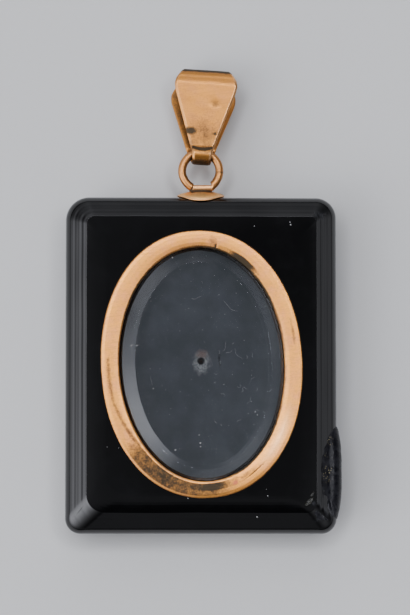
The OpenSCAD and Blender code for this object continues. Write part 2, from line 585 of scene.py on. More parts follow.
    def marks(self, places: Table, soft: float, ragged: float = 0.0, deep: float = FRONT) -> Socket:
        """Soft spots on the front of the stone, joined by the largest of their masks.

        Args:
            places: For each x, y, half length and half width in millimetres, and the bearing.
            soft: Share of the radius over which each fades.
            ragged: How far noise pushes its edge, as a share of the radius.
            deep: Half height of the spots, in millimetres.

        Returns:
            The joined mask.
        """
        mask = None
        for x, y, long, wide, bearing in places:
            spot = self.spot(metres(x, y, FRONT), metres(long, wide, deep), bearing, soft, ragged)
            mask = spot if mask is None else self.calc("MAXIMUM", mask, spot)
        return mask

    def relief(
        self, height: Socket, depth: float, strength: float = 1.0, onto: Socket | None = None
    ) -> Socket:
        """A Bump node.

        Args:
            height: Height map, 0 to 1.
            depth: Height in metres that 1 stands for.
            strength: Share of the full bump.
            onto: Normal of a coarser bump below it.

        Returns:
            The bumped normal.
        """
        node = self.nodes.new("ShaderNodeBump")
        node.inputs["Strength"].default_value = strength
        node.inputs["Distance"].default_value = depth
        self.put(node.inputs["Height"], height)
        if onto is not None:
            self.put(node.inputs["Normal"], onto)
        return node.outputs[0]


class Graph(Nodes):
    """The node tree of one material, on a Principled surface."""

    def __init__(self, name: str) -> None:
        """Starts an empty material of that name."""
        self.material = bpy.data.materials.new(name)
        self.material.use_nodes = True
        super().__init__(self.material.node_tree)
        self.surface = self.nodes.new("ShaderNodeBsdfPrincipled")
        output = self.nodes.new("ShaderNodeOutputMaterial")
        self.put(output.inputs["Surface"], self.surface.outputs[0])

    def set(self, **values: object) -> None:
        """Sets inputs of the surface by name, with underscores for spaces.

        Args:
            values: Value or socket for each named input.
        """
        for key, value in values.items():
            self.put(self.surface.inputs[key.replace("_", " ")], value)

    def mark(self, name: str) -> Socket:
        """Reads a mesh attribute.

        Args:
            name: Name of the attribute.

        Returns:
            Its value.
        """
        node = self.nodes.new("ShaderNodeAttribute")
        node.attribute_name = name
        return node.outputs["Fac"]


@dataclass(frozen=True)
class PolishedOnyx:
    """Black onyx with its old polish: hairlines, a faint haze, dull worn corners, chips and mitres.

    Scuffs, chipped places and mitres are given as Nodes.marks takes them.
    """

    body: Colour = (0.0006, 0.0006, 0.0008)
    haze: Colour = (0.0016, 0.0016, 0.002)
    worn: Colour = (0.02, 0.021, 0.024)
    crumbs: Colour = (0.02, 0.02, 0.012)
    gloss: float = 0.05
    dull: float = 0.13
    ripple: float = 0.002 * MM
    hairline: float = 0.0006 * MM
    cut: float = 0.02 * MM
    scuffs: Table = (
        (13.5, -16.8, 0.55, 0.36, 40), (14.3, -17.0, 0.85, 0.26, 100), (15.05, -17.8, 1.0, 0.34, 112),
        (14.2, -18.6, 1.0, 0.3, 40), (14.4, 18.1, 1.1, 0.9, 0),
    )
    chipped: Table = ((13.0, -16.6, 1.0, 0.42, 42), (13.35, -15.7, 0.5, 0.14, 60))
    mitres: Table = (
        (-14.66, -17.66, 1.0, 0.07, 51.5), (13.62, 18.37, 0.85, 0.08, 53), (10.73, 17.31, 0.13, 0.12, 0),
        (-11.72, -19.12, 0.1, 0.1, 0), (-10.81, -18.69, 0.1, 0.1, 0), (15.0, 18.4, 0.5, 0.05, 10),
    )

    def material(self) -> Material:
        """Builds the finish.

        Returns:
            The material.
        """
        g = Graph("polished_onyx")
        mm = g.placed(size=metres(1, 1, 1))
        cloud = g.cloud(mm, scale=0.35, detail=5.0, rough=0.6)
        hairs = g.cloud(g.placed(size=metres(6, 0.05, 1), turned=38), detail=2.0)
        cross = g.cloud(g.placed(size=metres(0.05, 7, 1), turned=-14), detail=2.0)
        scratch = g.calc("MAXIMUM", g.span(hairs, 0.66, 0.78), g.span(cross, 0.68, 0.8))
        streaks = g.cloud(g.placed(size=metres(0.22, 1.4, 1), turned=20), detail=4.0, rough=0.7)
        worn = g.calc("MULTIPLY", g.marks(self.scuffs, 0.8, 0.7), g.span(streaks, 0.36, 0.62))
        rubble = g.cloud(mm, scale=5.0, detail=4.0, rough=0.75)
        chipped = g.calc("MULTIPLY", g.marks(self.chipped, 0.6, 0.8), g.span(rubble, 0.4, 0.6))
        base = g.blend(g.span(cloud, 0.45, 0.8), self.body, self.haze)
        base = g.blend(worn, base, self.worn)
        base = g.blend(chipped, base, self.crumbs)
        rough = g.span(cloud, 0.35, 0.8, (self.gloss, self.gloss + 0.04))
        rough = g.calc("ADD", rough, g.calc("MULTIPLY", scratch, 0.05))
        rough = g.calc("ADD", rough, g.calc("MULTIPLY", g.calc("MAXIMUM", worn, chipped), self.dull))
        normal = g.relief(g.cloud(mm, scale=0.9, detail=2.0), self.ripple, 0.5)
        normal = g.relief(g.calc("SUBTRACT", 1.0, scratch), self.hairline, 0.4, normal)
        cuts = g.calc("ADD", g.marks(self.mitres, 0.9), g.calc("MULTIPLY", chipped, 0.4))
        normal = g.relief(g.calc("SUBTRACT", 1.0, cuts), self.cut, 0.7, normal)
        g.set(Base_Color=base, Roughness=rough, Normal=normal, IOR=1.54)
        return g.material


@dataclass(frozen=True)
class GroundStone:
    """The stone inside the compartment, ground but not polished, grey with old dust.

    From wall_from upwards the floor's grey fades, and above wall_to there is only the dark wall.
    """

    stone: Colour = (0.059, 0.065, 0.074)
    dust: Colour = (0.083, 0.089, 0.099)
    residue: Colour = (0.33, 0.33, 0.325)
    rust: Colour = (0.17, 0.11, 0.09)
    hole: Colour = (0.028, 0.018, 0.015)
    wall: Colour = (0.004, 0.004, 0.005)
    wall_from: float = 4.68 * MM
    wall_to: float = 4.85 * MM
    tooth: float = 0.03 * MM

    def material(self) -> Material:
        """Builds the finish.

        Returns:
            The material.
        """
        g = Graph("ground_stone")
        mm = g.placed(size=metres(1, 1, 1))
        cloud = g.cloud(mm, scale=0.25, detail=6.0, rough=0.62)
        grain = g.cloud(mm, scale=6.0, detail=5.0, rough=0.75)
        base = g.blend(g.span(cloud, 0.3, 0.72), self.stone, self.dust)
        flecks = g.calc("MULTIPLY", g.grains(mm, scale=1.7, radius=0.09), g.span(cloud, 0.45, 0.6))
        base = g.blend(g.calc("MULTIPLY", flecks, 0.6), base, self.residue)
        bloom = g.spot(metres(0.05, 0.3, 4.6), metres(1.3, 1.7, 1), soft=0.7, ragged=1.1)
        base = g.blend(g.calc("MULTIPLY", bloom, g.span(grain, 0.3, 0.62)), base, self.residue)
        rust = g.spot(metres(0.1, 1.3, 4.6), metres(1.0, 0.75, 1), soft=0.8, ragged=0.9)
        base = g.blend(g.calc("MULTIPLY", rust, 0.75), base, self.rust)
        hole = g.spot(metres(0.0, 0.5, 4.0), metres(0.46, 0.48, 2), soft=0.5, ragged=0.5)
        base = g.blend(hole, base, self.hole)
        height = g.measure("DOT_PRODUCT", g.placed(), UP)
        base = g.blend(g.span(height, self.wall_from, self.wall_to), base, self.wall)
        normal = g.relief(grain, self.tooth, 0.6)
        g.set(Base_Color=base, Roughness=0.85, Specular_IOR_Level=0.2, Normal=normal)
        return g.material


@dataclass(frozen=True)
class OldFiller:
    """Rough black filler with pale gold grains, grey scuffs and a smear at its lower end.

    The places of smear and grains are given as Nodes.marks takes them.
    """

    body: Colour = (0.006, 0.006, 0.008)
    scuff: Colour = (0.022, 0.022, 0.026)
    smear: Colour = (0.1, 0.1, 0.105)
    grain: Colour = (0.36, 0.31, 0.17)
    smear_at: Table = ((15.0, -17.6, 1.7, 2.4, 0),)
    grains_at: Table = (
        (15.35, -9.3, 0.95, 0.75, 0), (15.1, -10.9, 0.6, 0.4, 0), (15.2, -13.2, 0.95, 1.3, 0),
    )

    def material(self) -> Material:
        """Builds the finish.

        Returns:
            The material.
        """
        g = Graph("old_filler")
        mm = g.placed(size=metres(1, 1, 1))
        coarse = g.cloud(mm, scale=1.4, detail=5.0, rough=0.6)
        fine = g.cloud(mm, scale=7.0, detail=4.0, rough=0.7)
        streaks = g.cloud(g.placed(size=metres(0.25, 1.6, 1), turned=14), detail=4.0, rough=0.7)
        base = g.blend(g.span(coarse, 0.42, 0.75), self.body, self.scuff)
        low = g.marks(self.smear_at, soft=0.8, deep=4.0)
        base = g.blend(g.calc("MULTIPLY", low, g.span(streaks, 0.46, 0.62)), base, self.smear)
        near = g.marks(self.grains_at, soft=0.5, ragged=0.4, deep=3.0)
        specks = g.calc("MULTIPLY", g.grains(mm, scale=4.2, radius=0.3), near)
        base = g.blend(g.calc("MULTIPLY", specks, g.span(fine, 0.38, 0.55)), base, self.grain)
        rough = g.span(coarse, 0.3, 0.7, (0.22, 0.36))
        normal = g.relief(coarse, 0.03 * MM, 0.5)
        normal = g.relief(fine, 0.006 * MM, 0.5, normal)
        g.set(Base_Color=base, Roughness=rough, Normal=normal)
        g.set(IOR=1.36, Specular_IOR_Level=0.3)
        return g.material


class GoldPart(Enum):
    """The gold pieces, each of which has its own wear."""

    BEZEL = "bezel"
    RING = "ring"
    CAP = "cap"
    BAIL = "bail"


@dataclass(frozen=True)
class WornGold:
    """Low-carat rose gold: satin with wear, pinker in places, brown with stains and painted shade.

    One mesh attribute says where stains, tarnished patches and painted shade lie, and the other where
    the metal is worn and where a highlight is painted. Patina is the share of the dark brown in the
    fine wear all over, and flush a red stain, whose place is given in millimetres.
    """

    part: GoldPart
    metal: Colour = (1.0, 0.42, 0.08)
    pink: Colour = (0.97, 0.4, 0.13)
    wear_and_highlight_colour: Colour = (1.0, 0.52, 0.22)
    tarnish_and_shade: Colour = (0.075, 0.05, 0.03)
    patina: float = 0.22
    satin: float = 0.36
    flush: Colour = (0.42, 0.1, 0.07)
    flush_at: tuple[float, float] | None = None

    def material(self) -> Material:
        """Builds the finish.

        Returns:
            The material.
        """
        g = Graph(f"worn_gold_{self.part.value}")
        mm = g.placed(size=metres(1, 1, 1))
        cloud = g.cloud(mm, scale=0.8, detail=5.0, rough=0.6)
        mottle = g.cloud(mm, scale=4.5, detail=5.0, rough=0.7)
        brush = g.cloud(g.placed(size=metres(3, 0.12, 0.12), turned=8), detail=3.0, rough=0.6)
        # stains with painted shade, and wear with painted highlights, as the mesh marks them
        grime_and_shade, wear_and_highlight = g.mark("grime_and_shade"), g.mark("wear_and_highlight")
        push = g.calc("SUBTRACT", g.calc("ADD", mottle, cloud), 1.0)
        ragged = g.calc("ADD", grime_and_shade, g.calc("MULTIPLY", push, 0.72))
        dirt_and_shade = g.calc("MULTIPLY", g.span(ragged, 0.08, 0.92), g.span(grime_and_shade, 0.02, 0.25))
        base = g.blend(g.span(cloud, 0.4, 0.72), self.metal, self.pink)
        # paler where worn and where a highlight is painted
        base = g.blend(wear_and_highlight, base, self.wear_and_highlight_colour)
        worn = g.calc("MAXIMUM", g.span(mottle, 0.45, 0.7), g.span(brush, 0.5, 0.72))
        base = g.blend(g.calc("MULTIPLY", worn, self.patina), base, self.tarnish_and_shade)
        pits = g.calc("MULTIPLY", g.grains(mm, scale=1.3, radius=0.06), g.span(cloud, 0.5, 0.6))
        # dark brown where stained, pitted and where shade is painted
        base = g.blend(g.calc("MAXIMUM", dirt_and_shade, pits), base, self.tarnish_and_shade)
        if self.flush_at is not None:
            stain = g.spot(metres(*self.flush_at, 8), metres(0.55, 0.4, 4), 30, soft=0.7, ragged=0.9)
            base = g.blend(g.calc("MULTIPLY", stain, 0.8), base, self.flush)
        mixed = g.calc("MULTIPLY", g.calc("ADD", cloud, brush), 0.5)
        rough = g.span(mixed, 0.35, 0.65, (self.satin - 0.04, self.satin + 0.05))
        rough = g.calc("ADD", rough, g.calc("MULTIPLY", dirt_and_shade, 0.22))
        rough = g.calc("SUBTRACT", rough, g.calc("MULTIPLY", wear_and_highlight, 0.05), clamp=True)
        normal = g.relief(brush, 0.0025 * MM, 0.35)
        normal = g.relief(mottle, 0.006 * MM, 0.3, normal)
        g.set(Base_Color=base, Metallic=1.0, Roughness=rough, Normal=normal)
        return g.material


@dataclass(frozen=True)
class OldGlass:
    """Clear old glass, a little grey, with a haze of fine wear."""

    tint: Colour = (0.93, 0.95, 0.96)

    def material(self) -> Material:
        """Builds the finish.

        Returns:
            The material.
        """
        g = Graph("old_glass")
        mm = g.placed(size=metres(1, 1, 1))
        hairs = g.cloud(g.placed(size=metres(4, 0.04, 1), turned=52), detail=2.0)
        rough = g.span(g.cloud(mm, scale=0.5, detail=4.0), 0.4, 0.75, (0.0, 0.03))
        rough = g.calc("ADD", rough, g.calc("MULTIPLY", g.span(hairs, 0.68, 0.8), 0.04))
        normal = g.relief(g.cloud(mm, scale=0.5, detail=2.0), 0.003 * MM, 0.5)
        g.set(Base_Color=self.tint, Roughness=rough, Normal=normal, IOR=1.5, Transmission_Weight=1.0)
        return g.material


@dataclass(frozen=True)
class PaleLint:
    """Pale lint, dust and crumbs."""

    name: str
    light: Colour = (0.4, 0.4, 0.4)
    dark: Colour = (0.18, 0.18, 0.19)

    def material(self) -> Material:
        """Builds the finish.

        Returns:
            The material.
        """
        g = Graph(self.name)
        cloud = g.cloud(g.placed(size=metres(1, 1, 1)), scale=5.0)
        g.set(Base_Color=g.blend(g.span(cloud, 0.35, 0.65), self.dark, self.light), Roughness=0.9)
        g.set(Normal=g.relief(cloud, 0.01 * MM, 0.5))
        return g.material


@dataclass(frozen=True)
class PaleTable:
    """The plain pale surface that the pendant lies on."""

    paper: Colour = (0.6, 0.6, 0.59)

    def material(self) -> Material:
        """Builds the finish.

        Returns:
            The material.
        """
        g = Graph("pale_table")
        tooth = g.cloud(g.placed(size=metres(1, 1, 1)), scale=1.2, detail=5.0, rough=0.6)
        low, high = (tuple(c * k for c in self.paper) for k in (0.985, 1.015))
        g.set(Base_Color=g.blend(tooth, low, high), Roughness=0.8)
        g.set(Normal=g.relief(tooth, 0.01 * MM, 0.2))
        return g.material


def mark(piece: Piece, name: str, values: Array) -> None:
    """Stores one number for each point of a piece's mesh, for its material to read.

    Args:
        piece: The piece.
        name: Name of the attribute.
        values: One number for each vertex.
    """
    attribute = piece.data.attributes.new(name, "FLOAT", "POINT")
    attribute.data.foreach_set("value", np.asarray(values, np.float32).ravel())


def corners_of(node: str) -> tuple[Array, Array]:
    """Lowest and highest corner of a CAD node as arrays.

    Args:
        node: Name of the node.

    Returns:
        The two corners.
    """
    low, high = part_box(node)
    return np.array(low), np.array(high)


def oval_axes(node: str, turn: float) -> Array:
    """Half axes of a turned oval node, from its box: a^2 = (X^2 c^2 - Y^2 s^2) / (c^2 - s^2).

    Args:
        node: Name of the node.
        turn: Its turn, in degrees.

    Returns:
        Half axes a and b.
    """
    low, high = corners_of(node)
    square = ((high - low)[:2] / 2) ** 2
    c2, s2 = np.cos(np.radians(turn)) ** 2, np.sin(np.radians(turn)) ** 2
    return np.sqrt((square * c2 - square[::-1] * s2) / (c2 - s2))


@dataclass
class Compartment:
    """The oval compartment that the bezel frames, seen from above and turned a little to the left.

    The band's and the other ovals are given by their half axes. Fullness is the exponent of the
    band's outer oval, and the apron is the plain floor round the pit.
    """

    band_out: Array
    band_in: Array
    face_z: float
    ledge_z: float
    floor_z: float
    turn: float = OVAL_TURN
    fullness: float = 2.13
    sleeve_wall: float = 0.45 * MM
    play: float = 0.05 * MM
    glass_play: float = 0.1 * MM
    ledge_width: float = 0.45 * MM
    pit_radius: float = 0.45 * MM
    pit_apron: float = 2.2 * MM
    pit_z: float = 3.4 * MM
    pit_y: float = 0.5 * MM

    @classmethod
    def from_frame(cls) -> "Compartment":
        """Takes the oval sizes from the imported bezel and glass.

        Returns:
            The compartment.
        """
        return cls(
            band_out=oval_axes("bezel", OVAL_TURN),
            band_in=oval_axes("glass", OVAL_TURN) + cls.glass_play,
            face_z=corners_of("plaque")[1][2],
            ledge_z=corners_of("glass")[0][2],
            floor_z=4.6 * MM,
        )

    def rows(
        self, half_axes: Array, heights: Array, angles: Array, fullness: Array | float = 2.0
    ) -> Array:
        """Rows of ovals turned as the compartment is; see ovals for the arguments."""
        return ovals(half_axes, heights, angles, self.turn, fullness)

    @property
    def sleeve_out(self) -> Array:
        """Half axes of the outside of the bezel's sleeve."""
        return self.band_in + self.sleeve_wall

    @property
    def rebate(self) -> Array:
        """Half axes of the cut in the stone that takes the sleeve."""
        return self.sleeve_out + self.play

    @property
    def glass_out(self) -> Array:
        """Half axes of the glass."""
        return self.band_in - self.glass_play

    @property
    def hollow(self) -> Array:
        """Half axes of the hollow under the glass."""
        return self.glass_out - self.ledge_width


@dataclass
class StonePlaque:
    """The black slab: hand-rounded corners, a bevelled edge on both faces and the cut compartment.

    Corner tables run top right, top left, bottom left, bottom right. The crease is where bevel and
    face meet, and the face falls gently towards it; "raised" is the share of that fall that is
    missing on the right and at the top. "facets_round" is the share of the facets' depth all round,
    and what the left and the right side add to it.
    """

    compartment: Compartment
    half: Array
    thickness: float
    bevel_width: float = 2.55 * MM
    bevel_slope: float = 38.0
    edge_radius: float = 1.8 * MM
    outer_corners: tuple[float, ...] = (2.5 * MM, 2.9 * MM, 1.9 * MM, 1.9 * MM)
    crease_corners: tuple[float, ...] = (0.6 * MM, 1.0 * MM, 2.2 * MM, 1.3 * MM)
    crease_round: float = 0.05 * MM
    face_fall: float = 0.07 * MM
    fall_width: float = 1.3 * MM
    fall_round: float = 40.0 * MM
    raised: tuple[float, float] = (0.35, 0.85)
    fine_step: float = 0.075 * MM
    facet_depth: float = 0.008 * MM
    facet_pitch: float = 0.71 * MM
    facets_round: tuple[float, float, float] = (0.12, 0.88, 0.4)
    sway: float = 0.035 * MM
    flat_margin: float = 1.1 * MM
    wall_drop: float = 0.03 * MM
    ledge_gap: float = 0.02 * MM
    floor_grain: float = 0.02 * MM
    per_corner: int = 26
    per_side: int = 66

    @classmethod
    def from_frame(cls, compartment: Compartment) -> "StonePlaque":
        """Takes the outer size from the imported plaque, whose right edge has a lump of filler.

        Args:
            compartment: The compartment that is cut into it.

        Returns:
            The plaque.
        """
        low, high = corners_of("plaque")
        return cls(compartment, half=np.array([-low[0], high[1]]), thickness=high[2])

    @property
    def mid(self) -> float:
        """Height of the middle of the edge."""
        return self.thickness / 2

    def edge_profile(self) -> Array:
        """Half of the edge from the equator up to the flat face, as (inset, height above the middle).

        The round is an arc of the edge radius up to the bevel's slope. The bevel runs straight to
        the crease, and a band inside the crease slopes gently up to the flat face.

        Returns:
            Array (n, 2).
        """
        r, slope = self.edge_radius, np.radians(self.bevel_slope)
        tangent_in = r * (1 - np.sin(slope))
        crease = np.array([self.bevel_width, self.mid - self.face_fall])
        round_z = crease[1] - (self.bevel_width - tangent_in) * np.tan(slope) - r * np.cos(slope)
        bend = arc((0.0, round_z), r, 0, 90 - self.bevel_slope, 16)
        bend[:, 0] = r - bend[:, 0]
        flat = np.array([[self.bevel_width + self.fall_width, self.mid], [self.flat_start, self.mid]])
        top = rounded(np.stack([bend[-1], crease, *flat]), [self.crease_round, self.fall_round], 6)
        return np.concatenate([[[0.0, 0.0]], bend, divided(top, self.fine_step)[1:]])

    @property
    def flat_start(self) -> float:
        """Inset at which the face is flat for certain."""
        return self.bevel_width + self.fall_width + self.flat_margin

    def facets(self, insets: Array) -> Array:
        """Uneven lengthwise facets of the hand-polished bevel: two sine waves of different pitch.

        Args:
            insets: Distance of each row inside the plaque's outline.

        Returns:
            Heights, 0 outside the bevel.
        """
        start = self.edge_radius * (1 - np.sin(np.radians(self.bevel_slope)))
        phase = TURN * insets / self.facet_pitch
        waves = np.sin(phase + 0.6) + 0.7 * np.sin(1.63 * phase + 2.1)
        return self.facet_depth * waves * window(insets, start, 0.4 * MM, self.bevel_width, 0.25 * MM)

    def levelled(self, insets: Array, ring: Array) -> Array:
        """How much the gentle slope inside the crease is raised at the top and on the right.

        Args:
            insets: Distance of each row inside the plaque's outline.
            ring: The outline's points, one for each column.

        Returns:
            Heights (rows, columns).
        """
        profile = self.edge_profile()
        fall = self.mid - np.interp(insets, profile[:, 0], profile[:, 1])
        on_bevel = self.face_fall * ease(insets / self.bevel_width)
        fall = np.where(insets < self.bevel_width, on_bevel, fall)
        near_side = ease((ring[:, :2] / self.half - 0.7) / 0.25)
        return fall[:, None] * (near_side * self.raised).max(axis=1)

    def outlines(self, insets: Array, heights: Array) -> Array:
        """Rows of rounded rectangles: corner centre + radius (cos t, sin t), joined by straight sides.

        The corner radius goes evenly from its outer value to its value at the crease.

        Args:
            insets: Distance of each row inside the plaque's outline.
            heights: Height of each row.

        Returns:
            Array (rows, columns, 3).
        """
        share = np.clip(insets / self.bevel_width, 0, 1)[:, None]
        radii = np.array(self.outer_corners) * (1 - share) + np.array(self.crease_corners) * share
        signs = np.array([[1, 1], [-1, 1], [-1, -1], [1, -1]])
        t = np.arange(4)[:, None] * np.pi / 2 + np.linspace(0, np.pi / 2, self.per_corner)
        centres = signs * (self.half - insets[:, None, None] - radii[:, :, None])
        ring = np.stack([np.cos(t), np.sin(t)], axis=-1)
        arcs = centres[:, :, None] + radii[:, :, None, None] * ring
        along = np.linspace(0, 1, self.per_side + 1, endpoint=False)[1:, None]
        following = np.roll(arcs, -1, axis=1)[:, :, :1]
        sides = arcs[:, :, -1:] * (1 - along) + following * along
        flat = np.concatenate([arcs, sides], axis=2).reshape(len(insets), -1, 2)
        z = np.broadcast_to(np.asarray(heights)[:, None, None], (*flat.shape[:2], 1))
        return np.concatenate([flat, z], axis=-1)

    def shell_rows(self) -> Array:
        """Rows of the outside: from inside the back face, out, round the edge and up to the flat face.

        Returns:
            Array (rows, columns, 3).
        """
        profile = self.edge_profile()
        insets = np.concatenate([profile[::-1, 0], profile[1:, 0]])
        heights = np.concatenate([self.mid - profile[::-1, 1], self.mid + profile[1:, 1]])
        rows = self.outlines(insets, heights)
        ring = rows[np.argmin(insets)]
        on_sides = ease((np.abs(ring[:, 0]) / self.half[0] - 0.94) / 0.05)
        all_round, left, right = self.facets_round
        polish = all_round + on_sides * np.where(ring[:, 0] < 0, left, right)
        top = np.sign(heights - self.mid)[:, None]
        rows[..., 2] += top * self.facets(insets)[:, None] * polish
        rows[..., 2] += top * self.levelled(insets, ring)
        swing = lumps(rows[..., :2], 13 * MM, 11, 2) * ease(insets / self.bevel_width)[:, None]
        rows[..., :2] *= 1 - (self.sway * swing / np.linalg.norm(self.half))[..., None]
        back = rows[0] * np.linspace(0.12, 1, 7, endpoint=False)[:, None, None]
        return np.concatenate([back, rows])

    def face_rows(self, rim: Array, angles: Array) -> Array:
        """Rows of the flat face from its edge in to the rebate: (1 - s) rim + s oval.

        Args:
            rim: The flat face's outermost row.
            angles: Angles of the oval's columns.

        Returns:
            Array (rows, columns, 3).
        """
        inner = self.compartment.rows([self.compartment.rebate], [self.thickness], angles)[0]
        share = np.linspace(0, 1, 13)[1:, None, None]
        rows = rim * (1 - share) + inner * share
        rows[..., 2] = self.thickness
        return rows

    def columns_angle(self, rim: Array) -> Array:
        """Oval angles for the columns: mostly even, partly those at which the rim's points lie.

        Args:
            rim: The flat face's outermost row.

        Returns:
            Array (columns,).
        """
        c, s = np.cos(np.radians(self.compartment.turn)), np.sin(np.radians(self.compartment.turn))
        x, y = rim[:, 0] * c + rim[:, 1] * s, rim[:, 1] * c - rim[:, 0] * s
        seen = np.unwrap(np.arctan2(y / self.half[1], x / self.half[0]))
        even = TURN * np.arange(len(rim)) / len(rim)
        even += (seen - even).mean()
        return 0.35 * seen + 0.65 * even

    def inside_rows(self, angles: Array) -> Array:
        """Rows of the compartment: rebate, ledge, hollow, floor and pit, with softened edges.

        Args:
            angles: Angles of the oval's columns.

        Returns:
            Array (rows, columns, 3).
        """
        c = self.compartment
        ledge_z = c.ledge_z - self.ledge_gap
        wall, apron = c.rebate[0] - c.hollow[0], c.rebate[0] - c.pit_apron
        steps = np.array([
            [0.0, self.thickness - self.wall_drop], [0.0, ledge_z], [wall, ledge_z], [wall, c.floor_z],
            [apron, c.floor_z],
        ])
        path = divided(rounded(steps, metres(0.04, 0.08, 0.15), 3), 0.35 * MM)
        walls = c.rows(c.rebate - path[:, :1], path[:, 1], angles)
        pit = np.array([
            [c.pit_apron, c.floor_z], [c.pit_radius, c.floor_z], [c.pit_radius * 0.92, c.pit_z],
            [0.05 * MM, c.pit_z],
        ])
        pit = divided(rounded(pit, metres(0.12, 0.1), 4), 0.2 * MM)
        share = np.linspace(0, 1, 22)[1:, None]
        axes = (c.rebate - path[-1, 0]) * (1 - share) + pit[0, 0] * share
        floor = c.rows(axes, np.full(len(axes), c.floor_z), angles)
        floor[..., 1] += share * c.pit_y
        hole = c.rows(np.repeat(pit[1:, :1], 2, axis=1), pit[1:, 1], angles)
        hole[..., 1] += c.pit_y
        return np.concatenate([walls, floor, hole])

    def build(self, polished: Material, ground: Material) -> Piece:
        """Joins shell, face and compartment into one closed stone.

        Args:
            polished: Finish outside.
            ground: Finish inside the compartment.

        Returns:
            The piece.
        """
        shell = self.shell_rows()
        angles = self.columns_angle(shell[-1])
        outside = np.concatenate([shell, self.face_rows(shell[-1], angles)])
        inside = self.inside_rows(angles)
        floor = lumps(inside[..., :2], 3 * MM, 5, 4) * self.floor_grain
        inside[..., 2] += floor * (inside[..., 2] < self.compartment.floor_z + 0.01 * MM)
        grid = np.concatenate([outside, inside])
        zones = np.zeros(len(grid) - 1, int)
        zones[len(outside):] = 1
        poles = (np.zeros(3), np.array([0.0, self.compartment.pit_y, self.compartment.pit_z]))
        return make_piece("stone_plaque", [Skin(grid, poles, zones=zones)], [polished, ground])


@dataclass
class EdgeFiller:
    """The lump of old filler on the lower right edge: the edge's own section, grown by a lens.

    Its thin borders are sunk in the stone, and its inner side is a wall's thickness deep in it. The
    table gives how far in over the bevel it reaches at each y, in millimetres.
    """

    plaque: StonePlaque
    rise: float = 0.66 * MM
    middle_y: float = -13.0 * MM
    half_length: float = 5.9 * MM
    sunk: float = 0.12 * MM
    wall: float = 0.45 * MM
    rubble: float = 0.014 * MM
    rows: int = 150
    reaches: Table = ((-18.9, 0.0), (-18.2, 0.9), (-17.4, 1.6), (-16.2, 2.2), (-12.8, 2.4), (-11.0, 2.2),
                      (-9.2, 1.7), (-8.0, 0.8), (-7.2, 0.0))

    def section(self) -> tuple[Array, Array]:
        """The stone's edge from its face round to its back, with the normals that point outwards.

        Returns:
            Points (n, 2) of x and z, and their normals.
        """
        profile = self.plaque.edge_profile()
        loop = np.concatenate([profile[::-1], profile[1:] * [1, -1]])
        path = np.stack([self.plaque.half[0] - loop[:, 0], self.plaque.mid + loop[:, 1]], axis=-1)
        path = evenly(path, 120)
        normal = left_of(np.gradient(path, axis=0))
        return path, normal * np.sign(normal[len(normal) // 2, 0])

    def hump(self, path: Array, y: Array) -> Array:
        """Where the lump lies: 1 up to its reach over the bevel, eased to 0 past it.

        Args:
            path: The section's points.
            y: Places along the edge.

        Returns:
            Array (y, points).
        """
        reach = np.interp(y, *(np.array(self.reaches) * MM).T)[:, None]
        below = np.clip(reach, 0, 0.9 * MM)
        limit = np.where(path[:, 1] > self.plaque.mid, reach, below)
        inset = self.plaque.half[0] - path[:, 0]
        return ease((limit - inset) / (0.55 * MM) + 0.25)

    def build(self, material: Material) -> Piece:
        """Builds the lump: section point + normal * (rise * hump(s) * lens(y) + rubble).

        Args:
            material: Its finish.

        Returns:
            The piece.
        """
        plaque = self.plaque
        path, normal = self.section()
        share = np.linspace(-1, 1, self.rows + 2)[1:-1]
        y = self.middle_y + share * self.half_length
        hump = self.hump(path, y)
        lens = (1 - np.abs(share) ** 3.2)[:, None]
        side = 0.06 + 0.94 * ease(1.1 - (plaque.half[0] - path[:, 0]) / (1.2 * MM))
        # the stone's own round at its bottom edge keeps the lump's ends low
        roof = np.interp(plaque.half[1] + y, *plaque.edge_profile().T)[:, None]
        z = plaque.mid + np.clip(path[:, 1] - plaque.mid, -roof, roof)
        x = np.broadcast_to(path[:, 0], z.shape)
        points = np.stack([x, np.broadcast_to(y[:, None], z.shape), z], axis=-1)
        rubble = lumps(points, 1.3 * MM, 23, 3) * self.rubble * hump
        offset = self.rise * hump * lens * side + rubble - self.sunk * (1 - hump) - 0.02 * MM
        outer = points.copy()
        outer[..., 0] += normal[:, 0] * offset
        outer[..., 2] += normal[:, 1] * offset
        outer[..., 0] = np.minimum(outer[..., 0], plaque.half[0] + self.rise)
        inner = points[:, ::-1].copy()
        inner[..., ::2] -= normal[::-1] * self.wall
        return make_piece("edge_filler", [Skin.capped(np.concatenate([outer, inner], axis=1))], [material])


